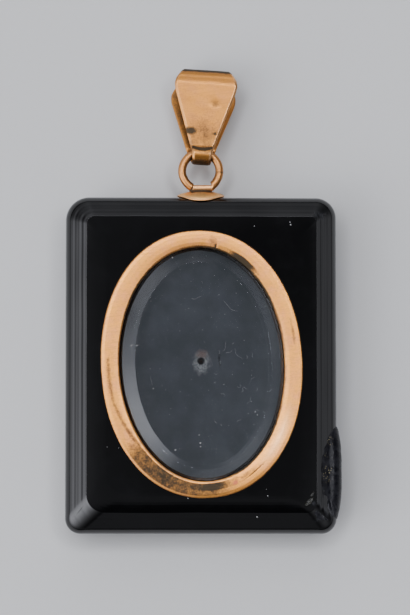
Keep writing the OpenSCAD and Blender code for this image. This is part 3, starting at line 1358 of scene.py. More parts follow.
@dataclass
class Bezel:
    """The gold bezel: a softly domed oval band on the stone, with a sleeve down to the ledge.

    Angles are in degrees, 0 to the right and 90 at the top. The scratch is given by its middle and
    its half length, and the painted shade in the gap at the glass by its darkness at each angle.
    """

    compartment: Compartment
    height: float
    band_width: float = 2.0 * MM
    cant: float = 0.14
    seam_at: float = 76.9
    scratch_at: tuple[float, float] = (300.0, 13.0)
    shine_at: float = 322.0
    notch_depth: float = 0.05 * MM
    scratch_depth: float = 0.02 * MM
    scratch_half: float = 0.12 * MM
    waves: float = 0.006 * MM
    shade_in_gaps: Table = ((0, 0.4), (35, 0.9), (75, 0.85), (105, 0.4), (135, 0.8), (200, 0.25), (240, 0.5),
                   (270, 0.2), (300, 1.0), (318, 1.0), (345, 0.4))
    columns: int = 560

    @classmethod
    def from_frame(cls, compartment: Compartment) -> "Bezel":
        """Takes the band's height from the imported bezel.

        Args:
            compartment: The compartment that it frames.

        Returns:
            The bezel.
        """
        _, high = corners_of("bezel")
        return cls(compartment, height=high[2] - compartment.face_z)

    def section(self) -> tuple[Array, Array]:
        """The closed section: shares of the way in across the band, and heights above the stone.

        Returns:
            Shares in, which pass 1 on the sleeve, and heights, as two arrays.
        """
        share = np.array([0, 0, 0.055, 0.21, 0.475, 0.725, 0.92, 0.985, 1]) * self.band_width
        level = np.array([0, 0.62, 0.86, 0.985, 1, 0.955, 0.83, 0.7, 0.45]) * self.height
        bends = np.array([0.07, 0.1, 0.5, 1.2, 1.0, 0.25, 0.1]) * MM
        band = rounded(np.stack([share, level], axis=-1), bends, 5)
        return band[:, 0] / self.band_width, band[:, 1]

    def build(self, material: Material) -> Piece:
        """Carries the section round the oval; the band keeps its share of the way at every angle.

        Args:
            material: Its finish.

        Returns:
            The piece.
        """
        c = self.compartment
        share, up = self.section()
        angles = whole_turn(self.columns)
        axes = c.band_out + (c.band_in - c.band_out) * share[:, None]
        sleeve = np.array([c.band_in, c.band_in, c.sleeve_out, c.sleeve_out])
        sleeve_z = np.array([c.face_z - 0.1 * MM, c.ledge_z, c.ledge_z, c.face_z - 0.01 * MM])
        band = np.column_stack([axes, c.face_z + up])
        loop = np.concatenate([band, np.column_stack([sleeve, sleeve_z])])
        axes = divided(loop, 0.14 * MM, closed=True)
        inward = np.clip((c.band_out[0] - axes[:, :1]) / (c.band_out[0] - c.band_in[0]), 0, 1)
        grid = c.rows(axes[:, :2], axes[:, 2], angles, 2 + (c.fullness - 2) * (1 - inward[:, 0]))
        top = ease((grid[..., 2] - c.face_z) / (0.3 * MM))
        width = np.linalg.norm(c.band_out - c.band_in) / np.sqrt(2)
        theta = np.broadcast_to(angles, grid.shape[:2])
        grid[..., 2] += lumps(grid, 7 * MM, 31, 3) * self.waves * top
        grid[..., 2] -= self.scars(theta, inward, width) * top
        grid[..., 2] += self.cant * self.along(theta, self.shine_at, 32) * (0.5 - inward) * width * top
        piece = make_piece("gold_bezel", [Skin(grid)], [material])
        mark(piece, "grime_and_shade", self.grime_and_shade(theta, inward))
        mark(piece, "wear_and_highlight", self.wear_and_highlight(theta, inward))
        return piece

    @staticmethod
    def along(theta: Array, degrees: float, reach: float) -> Array:
        """A soft window round the oval: eased from 1 at an angle to 0 at a reach on either side.

        Args:
            theta: Angles of the points.
            degrees: Angle of the window's middle.
            reach: Half width of the window, in degrees.

        Returns:
            Values from 0 to 1.
        """
        away = np.abs((np.degrees(theta) - degrees + 180) % 360 - 180)
        return ease(1 - away / reach)

    def scars(self, theta: Array, inward: Array, width: float) -> Array:
        """Depth of the solder seam's notch and of the long scratch at the lower right.

        Args:
            theta: Angles of the points.
            inward: Share of the way in across the band.
            width: Mean width of the band.

        Returns:
            Depths.
        """
        notch = self.along(theta, self.seam_at, 1.5) * ease(inward * 2.5 - 1.2) * self.notch_depth
        line = np.abs(inward - self.scratch_share(theta)) * width
        scratch = ease(1 - line / self.scratch_half) * self.along(theta, *self.scratch_at)
        return notch + scratch * self.scratch_depth

    @staticmethod
    def scratch_share(theta: Array) -> Array:
        """Share of the way in at which the long scratch runs, at each angle."""
        return 0.42 + 0.05 * np.sin((np.degrees(theta) % 360 - 290) / 7)

    @staticmethod
    def streak(inward: Array, share: Array | float, half: float) -> Array:
        """A soft line across the band: exp(-((inward - share) / half)^2)."""
        return bell((inward - share) / half)

    def grime_and_shade(self, theta: Array, inward: Array) -> Array:
        """Where it is darker: painted shade low down and at the edges, tarnished patches, streaks and the
        seam.

        Args:
            theta: Angles of the points.
            inward: Share of the way in across the band.

        Returns:
            Values from 0 to 1.
        """
        degrees = np.degrees(theta) % 360
        dark = 0.66 + 0.16 * self.along(theta, 242, 22) + 0.34 * self.along(theta, 271, 20)
        course = np.interp(degrees, [176, 195, 208, 224], [0.4, 0.43, 0.62, 0.82])
        gap_shade = np.interp(degrees, *np.array(self.shade_in_gaps).T, period=360)
        outside = 0.4 + 0.6 * ease(0.35 + np.cos(theta - np.radians(20)))
        scratched = self.along(theta, *self.scratch_at)
        inner = window(inward, 0.3, 0.2, 0.91, 0.091) * window(degrees, 208, 22, 303, 26)
        thin = window(inward, 0.07, 0.083, 0.88, 0.091) * window(degrees, 210, 14, 300, 30)
        parts = [
            # painted shade with tarnished patches low down, on the inner part of the band and then most of
            # it
            inner * dark,
            thin * 0.7,
            self.streak(inward, course, 0.13) * window(degrees, 172, 6, 228, 10) * 0.55,
            self.streak(inward, 0.36, 0.1) * self.along(theta, 13, 11) * 0.55,
            self.streak(inward, self.scratch_share(theta), 0.05) * scratched * 0.8,
            self.streak(inward, 0.6, 0.16) * self.along(theta, 296, 13) * 0.5,
            self.streak(inward, 0.57, 0.34) * self.along(theta, 79, 5) * 0.45,
            self.along(theta, self.seam_at, 1.4) * ease(inward * 3 - 1.5),
            self.along(theta, 176.2, 1.2) * self.streak(inward, 0.39, 0.09) * 0.7,
            # painted shade in the gap between band and glass, darker at some angles
            ease((inward - 0.85) * 11) * gap_shade,
            # painted shade on the inner wall at the upper right
            ease((inward - 0.62) * 7) * self.along(theta, 58, 18) * 1.2,
            # painted shade along the outer edge, strongest to the right and at the top
            ease(1 - inward / 0.11) * outside,
            # a thin dark line along the very outer edge
            ease(1 - inward / 0.03) * 0.7,
        ]
        return np.max([np.broadcast_to(p, theta.shape) for p in parts], axis=0)

    def wear_and_highlight(self, theta: Array, inward: Array) -> Array:
        """Where the metal is paler: wear with painted highlight on both rims, painted highlight low right.

        Args:
            theta: Angles of the points.
            inward: Share of the way in across the band.

        Returns:
            Values from 0 to 1.
        """
        # both rims paler, for wear and a painted highlight
        rims = 0.3 * ease(1 - inward / 0.12) + 0.3 * ease((inward - 0.84) * 12)
        # a painted highlight at the lower right
        shine = self.along(theta, self.shine_at, 24) * self.streak(inward, 0.5, 0.22)
        return np.clip(np.broadcast_to(rims, theta.shape) + shine, 0, 1)


@dataclass
class OvalGlass:
    """The glass: a flat oval with a wide bevel ground round its table."""

    compartment: Compartment
    top_z: float
    edge_height: float = 0.6 * MM
    bevel_width: float = 1.8 * MM
    soft_edge: float = 0.04 * MM
    middle: float = 6.0 * MM
    sway: float = 0.05 * MM
    columns: int = 384

    @classmethod
    def from_frame(cls, compartment: Compartment) -> "OvalGlass":
        """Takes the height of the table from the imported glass.

        Args:
            compartment: The compartment that it covers.

        Returns:
            The glass.
        """
        return cls(compartment, top_z=corners_of("glass")[1][2])

    def build(self, material: Material) -> Piece:
        """Stacks ovals from the middle of the underside round the edge, up the bevel to the table.

        The bevel is hand-ground: its inset sways a little round the oval.

        Args:
            material: Its finish.

        Returns:
            The piece.
        """
        c = self.compartment
        low = c.ledge_z
        path = np.array([
            [self.middle, low], [0.0, low], [0.0, low + self.edge_height],
            [self.bevel_width, self.top_z], [self.middle, self.top_z],
        ])
        path = divided(rounded(path, np.full(3, self.soft_edge)), 0.25 * MM)
        angles = whole_turn(self.columns)
        grid = c.rows(c.glass_out - path[:, :1], path[:, 1], angles)
        sway = self.sway * lumps(np.stack([np.cos(angles), np.sin(angles)], -1), 1.4, 3, 2)
        at_table = ease(path[:, 0] / self.bevel_width) * (path[:, 1] > low + self.edge_height / 2)
        grid[..., :2] *= 1 - (at_table[:, None] * sway / c.glass_out[1])[..., None]
        poles = (np.array([0, 0, low]), np.array([0, 0, self.top_z]))
        return make_piece("oval_glass", [Skin(grid, poles)], [material])


@dataclass
class RingAndCap:
    """The wire ring, its flattened foot, the bent cap on the plaque's edge and the hidden post.

    The seam and the end of the foot are bearings about the ring, in degrees. The nick and the
    foot's half width and half height are shares of the wire's radius. The cap falls by crown_fall
    towards its tips and by dome_fall towards front and back. Pad and post reach along Y.
    """

    plaque: StonePlaque
    centre: Array = field(default_factory=RING_CENTRE.copy)
    mid_radius: float = 2.28 * MM
    wire: float = 0.5 * MM
    seam_degrees: float = 243.0
    seam_width: float = 2.2
    foot_degrees: float = 308.0
    nick: float = 0.3
    foot_size: tuple[float, float] = (0.74, 1.06)
    foot_rise: float = 0.17 * MM
    foot_pad: tuple[float, float] = (1.4 * MM, 0.5 * MM)
    pad_top: float = 21.75 * MM
    cap_half: tuple[float, float] = (2.875 * MM, 2.35 * MM)
    cap_gap: float = 0.05 * MM
    cap_rise: float = 0.95 * MM
    crown_fall: float = 0.535 * MM
    dome_fall: float = 1.305 * MM
    rim_wall: float = 0.14 * MM
    post_radius: float = 0.6 * MM
    post_low: float = 17.3 * MM
    ring_waves: float = 0.012 * MM
    cap_waves: float = 0.008 * MM

    def wire_ring(self, material: Material) -> Piece:
        """A closed tube round the ring's circle, nicked at the seam and flattened along the foot.

        Each row is a circle of the wire's radius about the ring's line. Over the foot it is
        pressed to a low bar with square shoulders, and at the seam it shrinks to a dark nick.

        Args:
            material: Its finish.

        Returns:
            The piece.
        """
        degrees = self.seam_degrees + np.degrees(whole_turn(420))
        t = np.radians(degrees)
        around = whole_turn(40)
        pressed = window(degrees, self.seam_degrees, 1.5, self.foot_degrees + 3, 6)
        away = np.minimum(degrees - self.seam_degrees, self.seam_degrees + 360 - degrees)
        nick = ease(1 - away / self.seam_width)
        out = np.stack([np.cos(t), np.sin(t), np.zeros_like(t)], -1)
        square = squarish(around, 0.6)
        p, size = pressed[:, None], self.wire * (1 - self.nick * nick)[:, None]
        wide, high = self.foot_size
        reach = size * (np.cos(around) * (1 - p) + wide * square[0] * p)
        lift = size * (np.sin(around) * (1 - p) + high * square[1] * p)
        base = self.centre + out * self.mid_radius
        # the foot runs straight, as a chord under the round of the ring
        chord_y = self.centre[1] - self.mid_radius + self.foot_rise
        base[:, 1] = base[:, 1] * (1 - pressed) + chord_y * pressed
        heading = out * (1 - pressed[:, None]) + np.array([0, -1.0, 0]) * pressed[:, None]
        heading /= np.linalg.norm(heading, axis=1, keepdims=True)
        grid = base[:, None] + heading[:, None] * reach[..., None]
        grid[..., 2] += lift
        grid += lumps(grid, 2.5 * MM, 41, 3)[..., None] * self.ring_waves * heading[:, None]
        piece = make_piece("ring_wire", [Skin(grid)], [material])
        reached = np.linalg.norm(grid[..., :2] - self.centre[:2], axis=-1)
        inside = ease((self.mid_radius - reached) / self.wire + 0.1)
        bearing = np.degrees(np.arctan2(grid[..., 1] - self.centre[1], grid[..., 0]))
        spot = bell((bearing + 4) / 3.5) * (1 - inside)
        under = ease(np.sin(np.radians(bearing)) * 1.6 - 0.8) * 0.5
        # painted shade on the ring's inner side and where the bail's foot lies over it; a dark nick at the
        # seam
        grime_and_shade = np.clip(nick[:, None] ** 0.5 * 1.1 + 0.45 * inside * (1 - p) + spot * 0.6 + under, 0, 1)
        mark(piece, "grime_and_shade", grime_and_shade)
        # paler on the outer side and along the foot: wear and painted highlight
        mark(piece, "wear_and_highlight", np.clip((1 - inside) * 0.15 + p * 0.5, 0, 1))
        return piece

    def solder_pad(self, material: Material) -> Piece:
        """The pad of solder between ring and cap: a low rounded box, dark all over with painted shade.

        Args:
            material: Its finish.

        Returns:
            The piece.
        """
        square = squarish(whole_turn(72), 0.7)
        low = self.plaque.half[1] + 0.4 * MM
        heights = np.array([low, low + 0.1 * MM, self.pad_top - 0.08 * MM, self.pad_top])
        path = divided(np.stack([[0.97, 1.0, 1.0, 0.95], heights], axis=-1), 0.15 * MM)
        x, z = (path[:, :1] * half * side for half, side in zip(self.foot_pad, square))
        grid = np.stack([x, np.broadcast_to(path[:, 1:], x.shape), self.plaque.mid + z], -1)
        piece = make_piece("solder_pad", [Skin.capped(grid)], [material])
        # painted shade over the whole pad
        mark(piece, "grime_and_shade", np.ones(len(piece.data.vertices)))
        return piece

    def stone_y(self, z: Array) -> Array:
        """Y of the plaque's edge at each height, with the cap's gap added.

        Args:
            z: Heights.

        Returns:
            Y at each height.
        """
        p = self.plaque
        slope = np.radians(p.bevel_slope)
        tangent_in = p.edge_radius * (1 - np.sin(slope))
        straight = p.mid - (p.bevel_width - tangent_in) * np.tan(slope) - p.edge_radius * np.cos(slope)
        above = np.maximum(np.abs(z - p.mid) - straight, 0)
        reach = p.edge_radius + self.cap_gap
        return p.half[1] - p.edge_radius + np.sqrt(np.maximum(reach**2 - above**2, 0))

    def edge_cap(self, material: Material) -> Piece:
        """A domed oval disc on the edge: y = top - crown fall (x / a)^2 - dome fall (z / b)^2.

        The underside follows the stone, but leaves a thin rim whose tips stand clear of it.

        Args:
            material: Its finish.

        Returns:
            The piece.
        """
        t = whole_turn(160)
        radius = np.concatenate([np.linspace(0.04, 0.9, 18), [0.93, 0.955, 0.975, 0.99, 1.0]])[:, None]
        x = radius * self.cap_half[0] * np.cos(t)
        z = self.plaque.mid + radius * self.cap_half[1] * np.sin(t)
        top = self.plaque.half[1] + self.cap_rise
        outer = top - radius**2 * (self.crown_fall * np.cos(t) ** 2 + self.dome_fall * np.sin(t) ** 2)
        inner = np.maximum(self.stone_y(z), outer - self.rim_wall - (1 - radius) * 3 * MM)
        rim = ease((radius - 0.9) / 0.1)
        outer = outer - rim * np.minimum(0.06 * MM, 0.4 * (outer - inner))
        outer += lumps(np.stack([x, z], -1), 2.2 * MM, 61, 3) * self.cap_waves * (1 - rim)
        upper = np.stack([x, outer, z], -1)
        lower = np.stack([x, inner, z], -1)[::-1]
        grid = np.concatenate([upper, lower])
        piece = make_piece("edge_cap", [Skin.capped(grid)], [material])
        lift = np.abs(grid[..., 2] - self.plaque.mid)
        # painted shade under the pad and the ring's foot, and on the part that faces the bail
        foot = ease(1.9 - np.abs(grid[..., 0]) / (1.0 * MM)) * ease((1.3 * MM - lift) / (0.3 * MM))
        steep = ease(1.9 - lift / (0.6 * MM)) * 0.25
        mark(piece, "grime_and_shade", np.append(np.clip(np.maximum(foot, steep), 0, 1).ravel(), [0.8, 0.8]))
        # a painted highlight along the rim
        rims = np.concatenate([rim, rim[::-1]]) * np.ones_like(t)
        mark(piece, "wear_and_highlight", np.append(rims.ravel(), [0.0, 0.0]))
        return piece

    def post(self, material: Material) -> Piece:
        """The plain pin under the cap, a cylinder that stands in the stone.

        Args:
            material: Its finish.

        Returns:
            The piece.
        """
        t = whole_turn(32)
        top = self.plaque.half[1] + 0.25 * MM
        path = divided(np.array([[self.post_radius, self.post_low], [self.post_radius, top]]), 0.4 * MM)
        x = path[:, :1] * np.cos(t)
        z = self.plaque.mid + path[:, :1] * np.sin(t)
        grid = np.stack([x, np.broadcast_to(path[:, 1:], x.shape), z], -1)
        piece = make_piece("cap_post", [Skin.capped(grid)], [material])
        mark(piece, "grime_and_shade", np.full(len(piece.data.vertices), 0.6))
        return piece

    def build(self, material: Material, cap: Material) -> list[Piece]:
        """Builds the soldered ring, cap and post.

        Args:
            material: The finish of ring, pad and post.
            cap: The cap's finish.

        Returns:
            The pieces.
        """
        pieces = [self.wire_ring(material), self.solder_pad(material)]
        return [*pieces, self.edge_cap(cap), self.post(material)]


@dataclass
class FoldedBail:
    """The bail: one gold strip folded over at the top and looped round the ring.

    Its own axes are across, along from the swing axis, and out through the front leaf. The tables
    are in millimetres and start with the distance along: half widths, shifts to the side, the dent
    (place across, half sizes), the groove (sag, distance across for that sag) and the spots, which
    are smudge, fleck, dent and stain (place across, half sizes, darkness).
    """

    ring_centre: Array = field(default_factory=RING_CENTRE.copy)
    axis_rise: float = 2.0 * MM
    lean: float = 3.5
    droop: float = 10.7
    strip: float = 0.36 * MM
    length: float = 8.7 * MM
    fold_radius: float = 2.16 * MM
    foot_radius: float = 1.26 * MM
    spread: float = 9.0
    nip_radius: float = 0.6 * MM
    rim_width: float = 0.3 * MM
    rim_fall: float = 0.1 * MM
    rows: int = 460
    front_widths: Table = ((-1.2, 1.08), (0.0, 1.24), (0.9, 1.5), (2.7, 2.11), (7.6, 3.7),
                           (8.4, 3.87), (9.1, 3.72), (9.6, 3.45), (10.5, 2.95))
    back_widths: Table = ((-1.2, 1.08), (-0.2, 1.38), (0.7, 1.8), (7.1, 3.95), (7.7, 4.0),
                          (8.2, 3.95), (8.8, 3.7), (9.6, 3.3), (10.5, 2.95))
    back_shifts: Table = ((-1.0, 0.0), (1.0, -0.13), (8.0, -0.13), (10.2, 0.0))
    dent: tuple[float, ...] = (6.1, 1.22, 0.42, 0.5)
    groove: tuple[float, ...] = (0.34, 0.26, 1.2)
    dent_depth: float = 0.045 * MM
    groove_depth: float = 0.035 * MM
    groove_half: float = 0.13 * MM
    groove_reach: float = 1.25 * MM
    waves: float = 0.008 * MM
    spots: Table = ((2.66, -1.55, 0.5, 0.85, 1.15), (2.5, 1.45, 0.28, 0.26, 1.0),
                    (6.1, 1.22, 0.5, 0.6, 0.62), (1.6, 0.2, 3.4, 3.0, 0.44))

    def route(self) -> Array:
        """The strip's middle line from the foot's back, over the front leaf and the fold, and back.

        Circles of the foot and the fold are joined by a straight leg and a small nip arc that
        touches both, and the back leaf mirrors the front one.

        Returns:
            Array (rows, 2) of (along, out), evenly spaced round the closed line.
        """
        foot, fold = self.foot_radius - self.strip / 2, self.fold_radius - self.strip / 2
        lean = np.radians(self.spread)
        reach = (fold - self.length * np.sin(lean) + self.nip_radius) / (foot + self.nip_radius)
        turn = self.spread + np.degrees(np.arcsin(reach))
        nip = (foot + self.nip_radius) * np.array([np.cos(np.radians(turn)), np.sin(np.radians(turn))])
        leg_start = nip + self.nip_radius * np.array([np.sin(lean), -np.cos(lean)])
        leg_stop = np.array([self.length, 0]) + fold * np.array([-np.sin(lean), np.cos(lean)])
        half = np.concatenate([
            arc((0, 0), foot, 180, turn, 40),
            arc(tuple(nip), self.nip_radius, turn + 180, self.spread + 270, 8)[1:],
            leg_start + (leg_stop - leg_start) * np.linspace(0, 1, 20)[1:-1, None],
            arc((self.length, 0), fold, self.spread + 90, 0, 60),
        ])
        return evenly(np.concatenate([half, half[-2::-1] * [1, -1]]), self.rows, closed=True)

    def widths(self, route: Array) -> Array:
        """Half width of the strip at each row: the tables' values, smoothed over the next rows.

        Args:
            route: The strip's middle line.

        Returns:
            Array (rows,).
        """
        front, back = (np.array(t) * MM for t in (self.front_widths, self.back_widths))
        is_front = np.arange(len(route)) < len(route) // 2
        raw = np.where(is_front, np.interp(route[:, 0], *front.T), np.interp(route[:, 0], *back.T))
        kernel = np.hanning(17)
        padded = np.concatenate([raw[-8:], raw, raw[:8]])
        return np.convolve(padded, kernel / kernel.sum(), mode="valid")

    def shifts(self, route: Array) -> Array:
        """How far each row of the back leaf stands to the side.

        Args:
            route: The strip's middle line.

        Returns:
            Array (rows, 1).
        """
        table = np.array(self.back_shifts) * MM
        is_back = np.arange(len(route)) >= len(route) // 2
        return (is_back * np.interp(route[:, 0], *table.T))[:, None]

    def section(self) -> tuple[Array, Array, Array]:
        """The strip's closed section: outer face, rim, inner face, rim.

        Returns:
            Side of the strip from -1 to 1, distance in from the strip's edge where it lies on a
            rim, and height out of the middle line.
        """
        half = self.strip / 2
        rim = np.array([0.0, 0.03, 0.09, 0.17, 0.26, 0.34, 0.45]) * MM
        low_rim = np.array([0.0, 0.05, 0.12, 0.2]) * MM
        outer = half - self.rim_fall * (1 - ease(rim / self.rim_width))
        outer -= 0.05 * MM * ease(1 - rim / (0.07 * MM))
        inner = np.array(metres(0.09, 0.04, 0.01, 0)) - half
        upper, lower = np.linspace(-1, 1, 23)[1:-1], np.linspace(1, -1, 12)[1:-1]
        flat, low_flat = np.ones_like(upper), np.ones_like(lower)
        right = np.ones(len(rim) + len(low_rim))
        share = np.concatenate([-np.ones_like(rim), upper, right, lower, -np.ones_like(low_rim)])
        top, bottom = flat * rim[-1], low_flat * low_rim[-1]
        inset = np.concatenate([rim, top, rim[::-1], low_rim, bottom, low_rim[::-1]])
        out = np.concatenate([outer, flat * half, outer[::-1], inner, -low_flat * half, inner[::-1]])
        return share, inset, out

    def across(self, half_width: Array) -> Array:
        """Across positions of the section's points at every row: share * (half width - inset).

        Args:
            half_width: Half width at each row.

        Returns:
            Array (rows, columns).
        """
        share, inset, _ = self.section()
        return share * (half_width[:, None] - inset)

    @staticmethod
    def blot(along: Array, across: Array, place: tuple[float, ...]) -> Array:
        """A soft oval mark: exp(-((along - s) / ds)^2 - ((across - x) / dx)^2).

        Args:
            along: Distance along the bail from the swing axis.
            across: Distance across it.
            place: s, x, ds and dx in millimetres.

        Returns:
            Values from 0 to 1.
        """
        s, x, ds, dx = metres(*place)
        return bell(np.hypot((along - s) / ds, (across - x) / dx))

    def grooved(self, along: Array, across: Array, half: float, reach: float) -> Array:
        """The groove over the foot: a bell about the line s = place + sag (x / distance across)^2.

        Args:
            along: Distance along the bail from the swing axis.
            across: Distance across it.
            half: Half width of the groove.
            reach: Distance across at which it has ended.

        Returns:
            Values from 0 to 1.
        """
        place, sag, aside = metres(*self.groove)
        line = along - place - sag * (across / aside) ** 2
        return bell(line / half) * ease((reach - np.abs(across)) / (0.25 * MM))

    def dents(self, along: Array, across: Array) -> Array:
        """How far the front leaf is pressed in: one dent, and the curved groove above the foot.

        Args:
            along: Distance along the bail from the swing axis.
            across: Distance across it.

        Returns:
            Depths.
        """
        dent = self.blot(along, across, self.dent) * self.dent_depth
        return dent + self.grooved(along, across, self.groove_half, self.groove_reach) * self.groove_depth

    def build(self, material: Material) -> Piece:
        """Carries the section along the folded line, then leans and droops it to its rest.

        Args:
            material: Its finish.

        Returns:
            The piece.
        """
        route = self.route()
        step = np.roll(route, -1, axis=0) - np.roll(route, 1, axis=0)
        normal = left_of(step)
        across = self.across(self.widths(route))
        _, _, out = self.section()
        along_flat = np.broadcast_to(route[:, :1], across.shape)
        front = (np.arange(len(route)) < len(route) // 2)[:, None] * (out > 0)[None, :]
        depth = out - front * self.dents(along_flat, across)
        depth = depth + lumps(np.stack([across, along_flat], -1), 3.2 * MM, 53, 3) * self.waves
        along = route[:, :1] + normal[:, :1] * depth
        lift = route[:, 1:] + normal[:, 1:] * depth
        local = np.stack([across + self.shifts(route), along, lift], -1)
        lean = Matrix.Rotation(np.radians(-self.lean), 4, "Z")
        droop = Matrix.Rotation(np.radians(-self.droop), 4, "X")
        axis = Matrix.Translation((0, self.axis_rise, 0))
        place = np.array(Matrix.Translation(self.ring_centre) @ lean @ axis @ droop)
        grid = local @ place[:3, :3].T + place[:3, 3]
        piece = make_piece("folded_bail", [Skin(grid)], [material])
        mark(piece, "grime_and_shade", self.grime_and_shade(along_flat, across, front))
        # painted highlight along the rims, stronger towards one side
        rims = np.abs(np.abs(across) - self.widths(route)[:, None]) < self.rim_width
        painted_highlight_side = 0.25 + 0.65 * ease(across / (2 * MM) + 0.5)
        mark(piece, "wear_and_highlight", rims * (out > -0.1 * MM)[None, :] * painted_highlight_side)
        return piece

    def grime_and_shade(self, along: Array, across: Array, front: Array) -> Array:
        """Darker places: painted shade inside, under the foot and atop the fold; the groove and spots.

        Args:
            along: Distance along the bail from the swing axis.
            across: Distance across it.
            front: 1 on the front leaf's outer face.

        Returns:
            Values from 0 to 1.
        """
        _, _, out = self.section()
        from_rim = self.widths(self.route())[:, None] - np.abs(across)
        side = ease(across / (1.2 * MM) + 0.5)
        # painted shade on the inner faces, darker towards one side
        inside = (out < -0.05 * MM) * (0.62 - 0.5 * side) * ease(from_rim / (0.3 * MM))
        # painted shade where the foot curves under
        foot = ease((-0.5 * MM - along) / (0.45 * MM)) * 0.85
        # painted shade along the top of the fold
        top = ease((along - 9.75 * MM) / (0.5 * MM))
        groove = self.grooved(along, across, 2 * self.groove_half, self.groove_reach + 0.15 * MM) * 1.2
        spots = [self.blot(along, across, place) * darkness for *place, darkness in self.spots]
        return np.max([foot, top, inside, *(front * on_front for on_front in (groove, *spots))], axis=0)


@dataclass
class OldDust:
    """Lint and specks: in the compartment, on the glass and on the stone.

    The tables are in millimetres. A hair is x and y of its middle, its heading in degrees, length
    and bend, and the stray ones are drawn between a lowest and a highest value of each. A speck is
    x, y and radius.
    """

    compartment: Compartment
    glass_top: float
    stone_top: float
    thickness: float = 0.015 * MM
    hair_lift: float = 0.035 * MM
    hairs: Table = (
        (2.87, 2.24, 75, 1.3, 0.5), (4.5, 1.33, 128, 1.8, -0.6), (6.23, 1.2, 95, 0.7, 0.2),
        (3.5, 7.15, -40, 2.2, 0.5), (3.4, 1.6, 20, 0.9, 0.3), (5.9, -4.3, 60, 1.0, 0.3),
        (-0.6, 8.2, 15, 1.3, 0.4), (-6.1, -1.8, 100, 0.9, 0.2), (6.2, -1.7, 50, 0.9, -0.3),
    )
    stray_hairs: Table = ((1.5, 7.2), (-8.0, 3.5), (0.0, 180.0), (0.25, 0.8), (-0.7, 0.7))
    on_glass: Table = (
        (-8.55, 2.16, 0.1), (-7.87, 2.16, 0.08), (-3.58, 12.82, 0.1), (-3.21, -10.41, 0.06),
        (-0.24, -9.57, 0.09), (-0.2, -10.0, 0.07), (-0.36, -8.6, 0.06), (6.41, -5.82, 0.08),
        (6.65, -6.18, 0.07), (-5.9, -3.0, 0.06),
    )
    on_stone: Table = (
        (-1.68, -16.21, 0.07), (7.82, -15.12, 0.06), (7.94, -15.91, 0.07), (6.67, -18.45, 0.06),
        (-11.42, -10.04, 0.05), (-10.03, -10.16, 0.05), (10.79, 16.95, 0.08), (6.37, 16.77, 0.06),
    )

    def hair(self, values: Array, index: int) -> Skin:
        """One hair: a tapered tube along y = bend (s^2 - 0.12) length + 0.05 sin(9 s + index).

        Args:
            values: x, y, heading, length and bend.
            index: Its number, which shifts the small waves.

        Returns:
            Its skin.
        """
        x, y, heading, length, bend = values
        s = np.linspace(-0.5, 0.5, 26)
        curve = bend * (s**2 - 0.12) * length + 0.05 * np.sin(9 * s + index)
        c, d = np.cos(np.radians(heading)), np.sin(np.radians(heading))
        line = np.stack([x + s * length * c - curve * d, y + s * length * d + curve * c], -1) * MM
        side = left_of(np.gradient(line, axis=0))
        t = whole_turn(6)
        size = self.thickness * np.sqrt(np.clip(1 - (2 * s) ** 4, 0.05, 1))[:, None]
        flat = line[:, None] + side[:, None] * (size * np.cos(t))[..., None]
        z = self.compartment.floor_z + self.hair_lift + size * np.sin(t)
        return Skin.capped(np.concatenate([flat, z[..., None]], -1))

    def fibres(self, material: Material) -> Piece:
        """Fine hairs: those that stand out, and seeded ones, in one mesh.

        Args:
            material: Its finish.

        Returns:
            The piece.
        """
        low, high = np.transpose(self.stray_hairs)
        hairs = [*self.hairs, *np.random.default_rng(19).uniform(low, high, (16, 5))]
        skins = [self.hair(values, index) for index, values in enumerate(hairs)]
        return make_piece("compartment_lint", skins, [material])

    def specks(self, name: str, places: Array | Table, z: float, material: Material) -> Piece:
        """Specks: low ellipsoids, radius given with each place, all in one mesh.

        Args:
            name: Name of the piece.
            places: x, y and radius of each.
            z: Height that they lie on.
            material: Their finish.

        Returns:
            The piece.
        """
        rng = np.random.default_rng(len(places))
        t = whole_turn(8)
        polar = np.radians([35, 70, 110, 145])[:, None]
        skins = []
        for x, y, radius in places:
            wobble = 1 + 0.25 * rng.normal(size=(4, 8))
            ring = radius * np.sin(polar) * wobble
            stretch = rng.uniform(0.7, 1.5)
            up = np.broadcast_to(radius * 0.5 * np.cos(polar), ring.shape)
            grid = np.stack([x + ring * np.cos(t) * stretch, y + ring * np.sin(t), up], -1) * MM
            grid[..., 2] += z
            crown = np.array([0, 0, 0.1 * radius * MM])
            skins.append(Skin(grid, (grid[0].mean(0) + crown, grid[-1].mean(0) - crown)))
        return make_piece(name, skins, [material])

    def scattered(self, count: int, half: Array, seed: int) -> Array:
        """Places of stray dust inside an oval, evenly strewn: reach = sqrt(draw).

        Args:
            count: How many.
            half: Half axes of the oval, in millimetres.
            seed: Seed of the draw.

        Returns:
            Array (count, 3) of x, y and radius.
        """
        rng = np.random.default_rng(seed)
        angle, reach = rng.uniform(0, TURN, count), np.sqrt(rng.uniform(0, 1, count))
        x, y = half[0] * reach * np.cos(angle), half[1] * reach * np.sin(angle)
        return np.stack([x, y, rng.uniform(0.014, 0.04, count)], -1)

    def build(self) -> list[Piece]:
        """Builds the lint and the specks.

        Returns:
            The pieces.
        """
        lint = PaleLint("pale_lint").material()
        dust = PaleLint("pale_dust", light=(0.6, 0.6, 0.58), dark=(0.3, 0.3, 0.3)).material()
        stray = self.scattered(90, np.array([8.6, 12.8]), 7)
        floor_z = self.compartment.floor_z
        return [
            self.fibres(lint),
            self.specks("compartment_dust", stray, floor_z + 0.02 * MM, dust),
            self.specks("glass_dust", self.on_glass, self.glass_top + 0.01 * MM, dust),
            self.specks("stone_dust", self.on_stone, self.stone_top - 0.02 * MM, dust),
        ]


